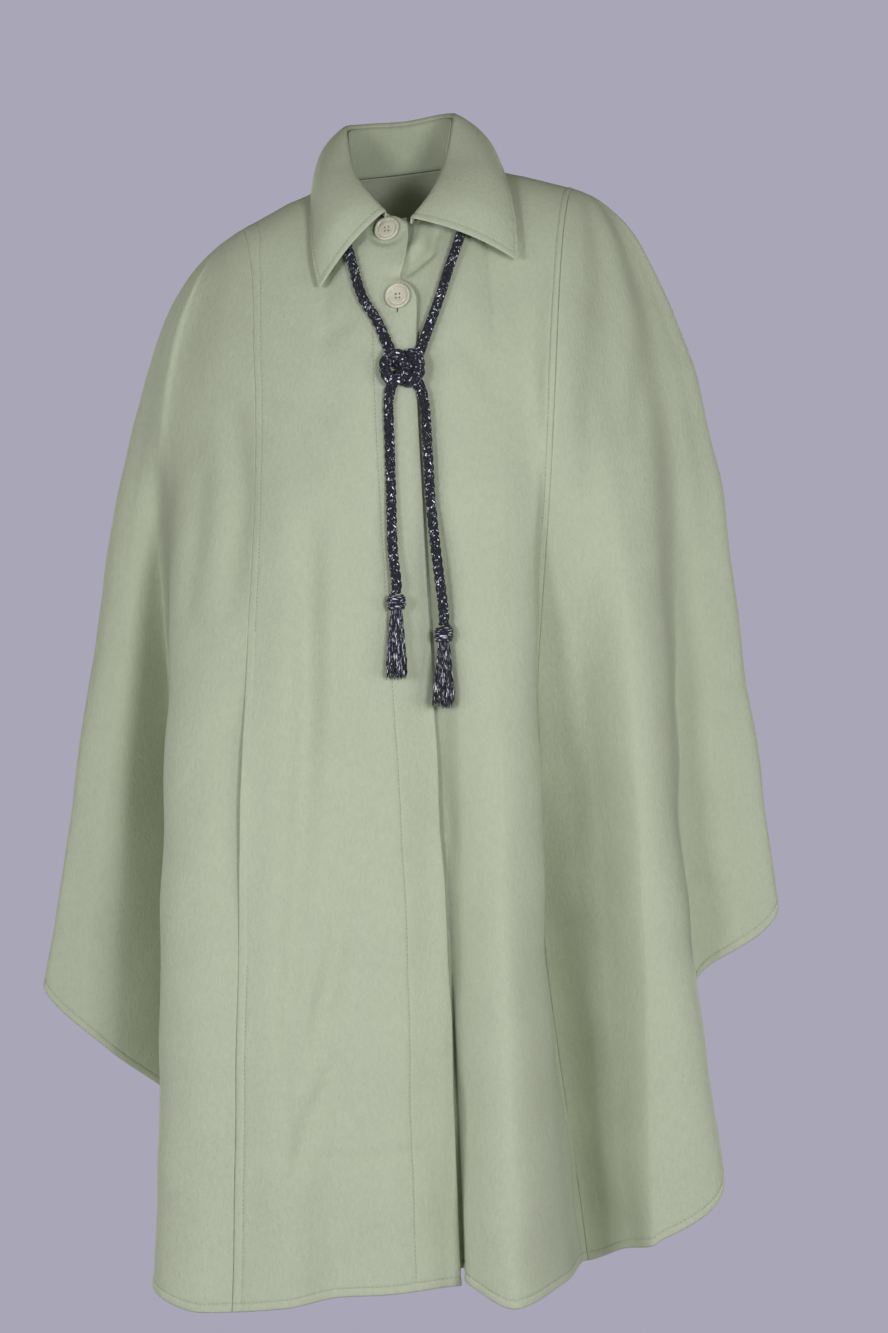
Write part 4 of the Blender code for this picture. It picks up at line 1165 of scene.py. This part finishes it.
BUTTONHOLE_DOWN = 0.0128  # middle of the lower buttonhole's end, below its button's middle
BUTTONHOLE_AXES = (0.0042, 0.00055, 0.0009)
BUTTONHOLE_STEPS = (16, 12)
BUTTONHOLE_PAINTED_SHADE = 0.16   # painted shade: the slit's shadow between its stitches, as a share of the thread's colour


def make_button(button, resin, thread):
    """A turned four-hole button with its sewing thread."""
    matrix = stood(button[1:4], button[4:7])
    bm = bmesh.new()
    verts = [bm.verts.new((r * MM, 0.0, h * MM)) for r, h in BUTTON_PROFILE]
    edges = [bm.edges.new(pair) for pair in zip(verts[:-1], verts[1:])]
    bmesh.ops.spin(bm, geom=verts + edges, cent=(0, 0, 0), axis=(0, 0, 1), angle=2.0 * pi,
                   steps=BUTTON_STEPS, use_merge=True)
    bmesh.ops.remove_doubles(bm, verts=bm.verts[:], dist=MERGE)
    bmesh.ops.recalc_face_normals(bm, faces=bm.faces[:])
    turned = in_scene("turned", mesh_of("turned", bm))
    bm = bmesh.new()
    angles = [radians(45.0 + 90.0 * quarter) for quarter in range(4)]
    holes = [Vector((HOLE_OUT * cos(a), HOLE_OUT * sin(a), 0.0)) for a in angles]
    for hole in holes:
        bmesh.ops.create_cone(bm, cap_ends=True, segments=HOLE_STEPS, radius1=HOLE_RADIUS,
                              radius2=HOLE_RADIUS, depth=DRILL, matrix=Matrix.Translation(hole))
    drill = in_scene("drill", mesh_of("drill", bm))
    cut = turned.modifiers.new("Holes", "BOOLEAN")
    cut.operation = "DIFFERENCE"
    cut.solver = "EXACT"
    cut.object = drill
    bpy.context.view_layer.update()
    drilled = turned.evaluated_get(bpy.context.evaluated_depsgraph_get())
    mesh = bpy.data.meshes.new_from_object(drilled)
    for made in (turned, drill):
        bpy.data.objects.remove(made, do_unlink=True)
    mesh.name = button.node + "_resin"
    mesh.transform(matrix)
    mesh.shade_smooth()
    mesh.set_sharp_from_angle(angle=BUTTON_SHARP)
    add_piece(button.node + "_resin", mesh, resin, "button", button.node)
    bm = bmesh.new()
    for a, b in ((holes[0], holes[3]), (holes[1], holes[2])):
        way = (b - a) / 2.0 * THREAD_REACH
        up = Vector((0.0, 0.0, BUTTON_THREAD / 2.0))
        side = up.cross(way).normalized() * BUTTON_THREAD / 2.0
        laid = placed((way, side, up), (a + b) / 2.0 + Vector((0.0, 0.0, THREAD_HEIGHT)))
        add_ball(bm, BUTTON_THREAD_STEPS, matrix @ laid)
    bmesh_piece(button.node + "_thread", bm, thread, "wool")


def make_buttonhole(button, thread):
    """The worked end of the upright buttonhole that shows below a button: a raised oval of thread,
    darkened as painted shade of the slit between its stitches.
    """
    axis = Vector(button[4:7]).normalized()
    down = (axis * axis.z - Vector((0.0, 0.0, 1.0))).normalized()
    ways = (down, axis.cross(down), axis)
    shape = placed([way * size for way, size in zip(ways, BUTTONHOLE_AXES)],
                   Vector(button[1:4]) + down * BUTTONHOLE_DOWN)
    bm = bmesh.new()
    add_ball(bm, BUTTONHOLE_STEPS, shape)
    bmesh_piece(button.node + "_buttonhole", bm, thread, "wool")


def linear(code):
    """Linear colour of an sRGB hex code."""
    channels = [int(code[index:index + 2], 16) / 255.0 for index in (1, 3, 5)]
    return tuple(c / 12.92 if c <= 0.04045 else ((c + 0.055) / 1.055) ** 2.4 for c in channels)


def tones(colour, *stops):
    """A ramp's stops: places, and the colour there at a share of its brightness."""
    return [(place, (*(min(1.0, c * share) for c in colour), 1.0)) for place, share in stops]


def add_node(tree, kind, inputs=None, stops=(), **settings):
    """Adds a node with its settings and stops; an input is a value or another node's output."""
    node = tree.nodes.new(kind)
    for key, value in settings.items():
        setattr(node, key, value)
    for element, stop in zip(node.color_ramp.elements if stops else (), stops):
        element.position, element.color = stop
    sockets = {socket.identifier: socket for socket in node.inputs}
    for key, value in (inputs or {}).items():
        if isinstance(value, bpy.types.NodeSocket):
            tree.links.new(value, sockets[key])
        else:
            sockets[key].default_value = value
    return node


def kept_material(name, surface, *values):
    """The material of that name, made the first time; surface(tree, *values) gives its shader."""
    material = bpy.data.materials.get(name)
    if material is None:
        material = bpy.data.materials.new(name)
        material.use_nodes = True
        tree = material.node_tree
        tree.nodes.clear()
        add_node(tree, "ShaderNodeOutputMaterial", {"Surface": surface(tree, *values)})
    return material


# Pattern sizes, in millimetres: the wool's fibres, their clumps and patches of tone, the twist of
# sewing thread, the clouds in the resin, the turns of ply and film along a yarn, and the floor's
# roller marks
WOOL_FIBRE = 1.1
WOOL_CLUMP = 3.3
WOOL_PATCH = 42.0
THREAD_TWIST = 0.8
RESIN_CLOUD = 6.0
YARN_PLY = 1.6
YARN_FILM = 2.6
LOOSE_FILM = 7.0
FLOOR_MARK = 90.0
WOOL_COMBED = (1.0, 1.0, 0.45)  # fibres lie longer down the cloth than across it
YARN_ROUND = 5.0          # turns of ply and film round a yarn
FILM_EDGE = 0.05          # softness of a glint's edge


def brushed_wool(tree, colour):
    # Brushed wool: a felted nap of short fibres combed downward, mottled in tone, with a faint
    # bloom where the surface turns away. The fibres are drawn coarser than real ones, to show.
    place = add_node(tree, "ShaderNodeTexCoord").outputs["Object"]
    combed = add_node(tree, "ShaderNodeMapping",
                      {"Vector": place, "Scale": WOOL_COMBED}).outputs["Vector"]
    fibre, clump, patch = (
        add_node(tree, "ShaderNodeTexNoise",
                 {"Vector": where, "Scale": 1.0 / (size * MM), "Detail": 4.0, "Roughness": 0.62})
        .outputs["Fac"]
        for where, size in ((combed, WOOL_FIBRE), (combed, WOOL_CLUMP), (place, WOOL_PATCH)))
    tone = 0.0
    for texture, share in ((patch, 0.15), (clump, 0.40), (fibre, 0.45)):
        tone = add_node(tree, "ShaderNodeMath", {
            "Value": texture, "Value_001": share, "Value_002": tone},
            operation="MULTIPLY_ADD").outputs["Value"]
    mottle = add_node(tree, "ShaderNodeValToRGB", {"Fac": tone},
                      tones(colour, (0.30, 0.88), (0.70, 1.09)))
    height = add_node(tree, "ShaderNodeMath", {
        "Value": clump, "Value_001": 1.6, "Value_002": fibre}, operation="MULTIPLY_ADD")
    relief = add_node(tree, "ShaderNodeBump", {
        "Strength": 0.55, "Distance": 0.0007, "Height": height.outputs["Value"]})
    return add_node(tree, "ShaderNodeBsdfPrincipled", {
        "Base Color": mottle.outputs["Color"], "Roughness": 0.92, "Specular IOR Level": 0.18,
        "Sheen Weight": 0.08, "Sheen Roughness": 0.55, "Sheen Tint": (*linear("#f3f8ff"), 1.0),
        "Normal": relief.outputs["Normal"]}).outputs["BSDF"]


def sewing_thread(tree, colour):
    # Spun polyester sewing thread dyed to the cloth: a little darker and smoother than the nap,
    # with the twist of its plies
    place = add_node(tree, "ShaderNodeTexCoord").outputs["Object"]
    twist = add_node(tree, "ShaderNodeTexNoise",
                     {"Vector": place, "Scale": 1.0 / (THREAD_TWIST * MM)})
    plies = add_node(tree, "ShaderNodeValToRGB", {"Fac": twist.outputs["Fac"]},
                     tones(colour, (0.35, 0.62), (0.65, 0.82)))
    return add_node(tree, "ShaderNodeBsdfPrincipled", {
        "Base Color": plies.outputs["Color"], "Roughness": 0.65}).outputs["BSDF"]


def polished_resin(tree, colour):
    # Polished polyester resin, turned: cloudy cream, softly lit from within, with a clean highlight
    place = add_node(tree, "ShaderNodeTexCoord").outputs["Object"]
    cloud = add_node(tree, "ShaderNodeTexNoise",
                     {"Vector": place, "Scale": 1.0 / (RESIN_CLOUD * MM), "Detail": 3.0})
    cream = add_node(tree, "ShaderNodeValToRGB", {"Fac": cloud.outputs["Fac"]},
                     tones(colour, (0.3, 0.90), (0.7, 1.06)))
    return add_node(tree, "ShaderNodeBsdfPrincipled", {
        "Base Color": cream.outputs["Color"], "Roughness": 0.28, "Subsurface Weight": 0.15,
        "Subsurface Radius": (0.0015, 0.0013, 0.0010), "Coat Weight": 0.25,
        "Coat Roughness": 0.12}).outputs["BSDF"]


def plied_yarn(tree, colour, silver, amount, film_length):
    # Navy yarn plied with flat silver film: matt dark fibres with short bright glints along the ply
    along = add_node(tree, "ShaderNodeUVMap", uv_map="UVMap").outputs["UV"]
    film_at, ply_at = (
        add_node(tree, "ShaderNodeMapping",
                 {"Vector": along, "Scale": (1.0 / (size * MM), YARN_ROUND, 1.0)})
        .outputs["Vector"] for size in (film_length, YARN_PLY))
    film_noise, ply_noise = (
        add_node(tree, "ShaderNodeTexNoise", {"Vector": where, "Scale": 1.0, "Detail": 2.5})
        .outputs["Fac"] for where in (film_at, ply_at))
    tone = add_node(tree, "ShaderNodeValToRGB", {"Fac": ply_noise},
                    tones(colour, (0.3, 0.5), (0.75, 1.8)))
    relief = add_node(tree, "ShaderNodeBump", {
        "Strength": 0.6, "Distance": 0.0004, "Height": ply_noise}).outputs["Normal"]
    yarn = add_node(tree, "ShaderNodeBsdfPrincipled", {
        "Base Color": tone.outputs["Color"], "Roughness": 0.75, "Sheen Weight": 0.15,
        "Normal": relief})
    film = add_node(tree, "ShaderNodeBsdfPrincipled", {
        "Base Color": (*silver, 1.0), "Metallic": 0.35, "Roughness": 0.40, "Normal": relief})
    share = add_node(tree, "ShaderNodeMapRange", {
        "Value": film_noise, "From Min": 1.0 - amount, "From Max": 1.0 + FILM_EDGE - amount})
    return add_node(tree, "ShaderNodeMixShader", {
        "Fac": share.outputs["Result"], "Shader": yarn.outputs["BSDF"],
        "Shader_001": film.outputs["BSDF"]}).outputs["Shader"]


def floor_paint(tree, colour):
    # Matt studio paint, rolled on: even, with a faint unevenness of tone
    place = add_node(tree, "ShaderNodeTexCoord").outputs["Object"]
    rolled = add_node(tree, "ShaderNodeTexNoise",
                      {"Vector": place, "Scale": 1.0 / (FLOOR_MARK * MM)})
    tone = add_node(tree, "ShaderNodeValToRGB", {"Fac": rolled.outputs["Fac"]},
                    tones(colour, (0.0, 0.97), (1.0, 1.03)))
    return add_node(tree, "ShaderNodeBsdfPrincipled", {
        "Base Color": tone.outputs["Color"], "Roughness": 0.9}).outputs["BSDF"]


def lit_wall(tree, colour):
    # Pale studio wall, evenly lit by lamps of its own: one flat tone all round
    return add_node(tree, "ShaderNodeEmission",
                    {"Color": (*colour, 1.0), "Strength": 1.0}).outputs["Emission"]


# Stage, in metres; a softbox is aimed at the cape's middle line and has a share of the power
FOCUS = 3000.0 / 1333.0   # focal length over the picture's long side, both in pixels
SENSOR = 36.0             # width of the film, in millimetres
FLOOR_Z = -1.42
FLOOR_RADIUS = 1.15
FLOOR_SIDES = 96
WALL_RADIUS = 7.0
WALL_ROUNDING = 4
ROOM_COLOUR = "#50513a"
LAMP_COLOUR = "#f2f1ff"
Softbox = namedtuple("Softbox", "name x y z aim_z size share")
SOFTBOXES = (
    Softbox("key_left", 0.72, -2.15, -0.20, -0.40, 0.45, 0.175),
    Softbox("key_right", -0.95, -2.00, -0.20, -0.40, 0.45, 0.125),
    Softbox("side_right", -1.45, -1.35, -0.40, -0.50, 0.80, 0.06),
    Softbox("side_left", 1.45, -1.35, -0.40, -0.50, 0.80, 0.08),
    Softbox("rear_right", -2.6, 2.9, -0.30, -0.50, 1.40, 0.75),
    Softbox("rear_left", 2.6, 2.9, -0.30, -0.50, 1.40, 0.60),
)


def make_stage(settings):
    """The front camera, the floor, the round wall that only cameras see, and the light."""
    scene = bpy.context.scene
    lens = bpy.data.cameras.new("camera")
    lens.sensor_width = SENSOR
    lens.lens = SENSOR * FOCUS
    lens.dof.use_dof = False
    scene.camera = in_scene("camera", lens)
    scene.camera.location = CAMERA
    scene.camera.rotation_euler = (pi / 2.0, 0.0, 0.0)
    bm = bmesh.new()
    bmesh.ops.create_circle(bm, cap_ends=True, segments=FLOOR_SIDES, radius=FLOOR_RADIUS,
                            matrix=Matrix.Translation((0.0, 0.0, FLOOR_Z)))
    floor = in_scene("floor", mesh_of("floor", bm))
    floor.data.materials.append(
        kept_material("matt floor paint", floor_paint, tuple(settings.floor_colour)))
    bm = bmesh.new()
    bmesh.ops.create_icosphere(bm, subdivisions=WALL_ROUNDING, radius=WALL_RADIUS)
    bmesh.ops.reverse_faces(bm, faces=bm.faces[:])
    wall = in_scene("wall", mesh_of("wall", bm))
    wall.data.materials.append(
        kept_material("lit studio wall", lit_wall, tuple(settings.backdrop_colour)))
    wall.visible_diffuse = wall.visible_glossy = wall.visible_shadow = False
    for box in SOFTBOXES:
        lamp = bpy.data.lights.new(box.name, "AREA")
        lamp.size = box.size
        lamp.color = linear(LAMP_COLOUR)
        lamp.energy = settings.light_power * box.share
        light = in_scene(box.name, lamp)
        light.location = (box.x, box.y, box.z)
        aim = Vector((0.0, 0.0, box.aim_z)) - light.location
        light.rotation_euler = aim.to_track_quat("-Z", "Y").to_euler()
    world = bpy.data.worlds.new("studio")
    world.use_nodes = True
    room = world.node_tree.nodes["Background"]
    room.inputs["Color"].default_value = (*linear(ROOM_COLOUR), 1.0)
    scene.world = world
    scene.view_settings.view_transform = "Standard"


def colour_property(name, description, code):
    return bpy.props.FloatVectorProperty(name=name, description=description, subtype="COLOR",
                                         size=3, min=0.0, max=1.0, default=linear(code))


def length_property(name, description, default, least, most):
    return bpy.props.FloatProperty(name=name, description=description, default=default, min=least,
                                   max=most, subtype="DISTANCE", unit="LENGTH")


class CapeSettings(bpy.types.PropertyGroup):
    cloth_thickness: length_property(
        "Cloth thickness", "Thickness of the wool", CLOTH, 0.001, 0.004)
    crease_depth: bpy.props.FloatProperty(
        name="Crease depth", description="Depth of the placed creases against the worn cape",
        default=1.0, min=0.0, max=2.0, subtype="FACTOR")
    wool_colour: colour_property("Wool", "Colour of the cloth", "#bcc4a7")
    button_colour: colour_property("Buttons", "Colour of the buttons", "#d3d1b8")


class TieSettings(bpy.types.PropertyGroup):
    cord_diameter: length_property(
        "Cord diameter", "Diameter of the braided cord", CORD, 0.008, 0.012)
    braid_pitch: length_property(
        "Braid pitch", "Length over which a strand turns once round the cord", BRAID_PITCH, 0.02,
        0.06)
    yarn_colour: colour_property("Yarn", "Colour of the tie's yarn", "#0b0e1e")
    silver_colour: colour_property("Silver film", "Colour of the glints in the yarn", "#f0f2f8")
    silver_amount: bpy.props.FloatProperty(
        name="Silver amount", description="How readily the silver film shows", default=0.40,
        min=0.0, max=1.0, subtype="FACTOR")


class StageSettings(bpy.types.PropertyGroup):
    light_power: bpy.props.FloatProperty(
        name="Light", description="Power that each softbox has its share of", default=110.0,
        min=0.0, unit="POWER")
    backdrop_colour: colour_property("Backdrop", "Colour of the studio behind the cape", "#a9a6b7")
    floor_colour: colour_property("Floor", "Colour of the floor", "#c9c7cf")


def wool():
    return kept_material("brushed wool", brushed_wool, tuple(bpy.context.scene.cape.wool_colour))


def thread(name="spun sewing thread", painted_shade_factor=1.0):
    # Below 1 the factor darkens the thread as painted shade; at 1 the thread keeps its own colour
    colour = tuple(channel * painted_shade_factor for channel in bpy.context.scene.cape.wool_colour)
    return kept_material(name, sewing_thread, colour)


def yarn(name, film_length=YARN_FILM, more_silver=0.0):
    tie = bpy.context.scene.cape_tie
    return kept_material(name, plied_yarn, tuple(tie.yarn_colour), tuple(tie.silver_colour),
                         tie.silver_amount + more_silver, film_length)


class CAPE_OT_stage(bpy.types.Operator):
    """Sets up the camera, the floor, the wall and the soft studio light"""
    bl_idname = "cape.stage"
    bl_label = "Stage"

    def execute(self, context):
        make_stage(context.scene.cape_stage)
        return {"FINISHED"}


class CAPE_OT_tie(bpy.types.Operator):
    """Braids the two halves of the neck tie and hangs their tassels"""
    bl_idname = "cape.tie"
    bl_label = "Neck tie"

    def execute(self, context):
        tie = context.scene.cape_tie
        for half in HALVES:
            piece, points, length = make_braid(half, yarn("plied navy yarn"), tie.cord_diameter,
                                               tie.braid_pitch)
            hung = make_tassel(half.tassel, yarn("loose navy yarn", LOOSE_FILM, LOOSE_SILVER))
        return {"FINISHED"}


class CAPE_OT_panels(bpy.types.Operator):
    """Lays the wool panels with their seams, hems, slits and creases"""
    bl_idname = "cape.panels"
    bl_label = "Wool panels"

    def execute(self, context):
        for panel in PANELS:
            make_panel(panel, wool(), thread(), context.scene.cape)
        return {"FINISHED"}


class CAPE_OT_collar(bpy.types.Operator):
    """Lays the collar's stand and fall and stitches its edge"""
    bl_idname = "cape.collar"
    bl_label = "Collar"

    def execute(self, context):
        make_collar(wool(), thread(), context.scene.cape.cloth_thickness)
        return {"FINISHED"}


class CAPE_OT_buttons(bpy.types.Operator):
    """Turns the two buttons, sews them on and works the lower buttonhole's end, darkened as painted
    shade of its slit
    """
    bl_idname = "cape.buttons"
    bl_label = "Buttons"

    def execute(self, context):
        resin = kept_material("polished resin", polished_resin,
                              tuple(context.scene.cape.button_colour))
        for button in BUTTONS:
            make_button(button, resin, thread())
        # The buttonhole's end is drawn in thread darkened as painted shade of its slit
        make_buttonhole(BUTTONS[-1], thread("shaded buttonhole thread", BUTTONHOLE_PAINTED_SHADE))
        return {"FINISHED"}


OPERATORS = (CAPE_OT_stage, CAPE_OT_tie, CAPE_OT_panels, CAPE_OT_collar, CAPE_OT_buttons)


class CAPE_PT_sidebar(bpy.types.Panel):
    """Sizes, colours and steps of the cape coat"""
    bl_idname = "CAPE_PT_sidebar"
    bl_label = "Cape coat"
    bl_space_type = "VIEW_3D"
    bl_region_type = "UI"
    bl_category = "Cape coat"

    def draw(self, context):
        for settings in (context.scene.cape, context.scene.cape_tie, context.scene.cape_stage):
            for name in settings.bl_rna.properties.keys():
                if name not in ("rna_type", "name"):
                    self.layout.prop(settings, name)
        for operator in OPERATORS:
            self.layout.operator(operator.bl_idname)


GROUPS = (("cape", CapeSettings), ("cape_tie", TieSettings), ("cape_stage", StageSettings))


def register():
    for name, group in GROUPS:
        bpy.utils.register_class(group)
        setattr(bpy.types.Scene, name, bpy.props.PointerProperty(type=group))
    for operator in OPERATORS:
        bpy.utils.register_class(operator)
    bpy.utils.register_class(CAPE_PT_sidebar)


def unregister():
    bpy.utils.unregister_class(CAPE_PT_sidebar)
    for operator in reversed(OPERATORS):
        bpy.utils.unregister_class(operator)
    for name, group in reversed(GROUPS):
        delattr(bpy.types.Scene, name)
        bpy.utils.unregister_class(group)


def main():
    register()
    bpy.ops.cape.stage()
    bpy.ops.cape.tie()
    bpy.ops.cape.panels()
    bpy.ops.cape.collar()
    bpy.ops.cape.buttons()
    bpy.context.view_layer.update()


if __name__ == "__main__":
    main()
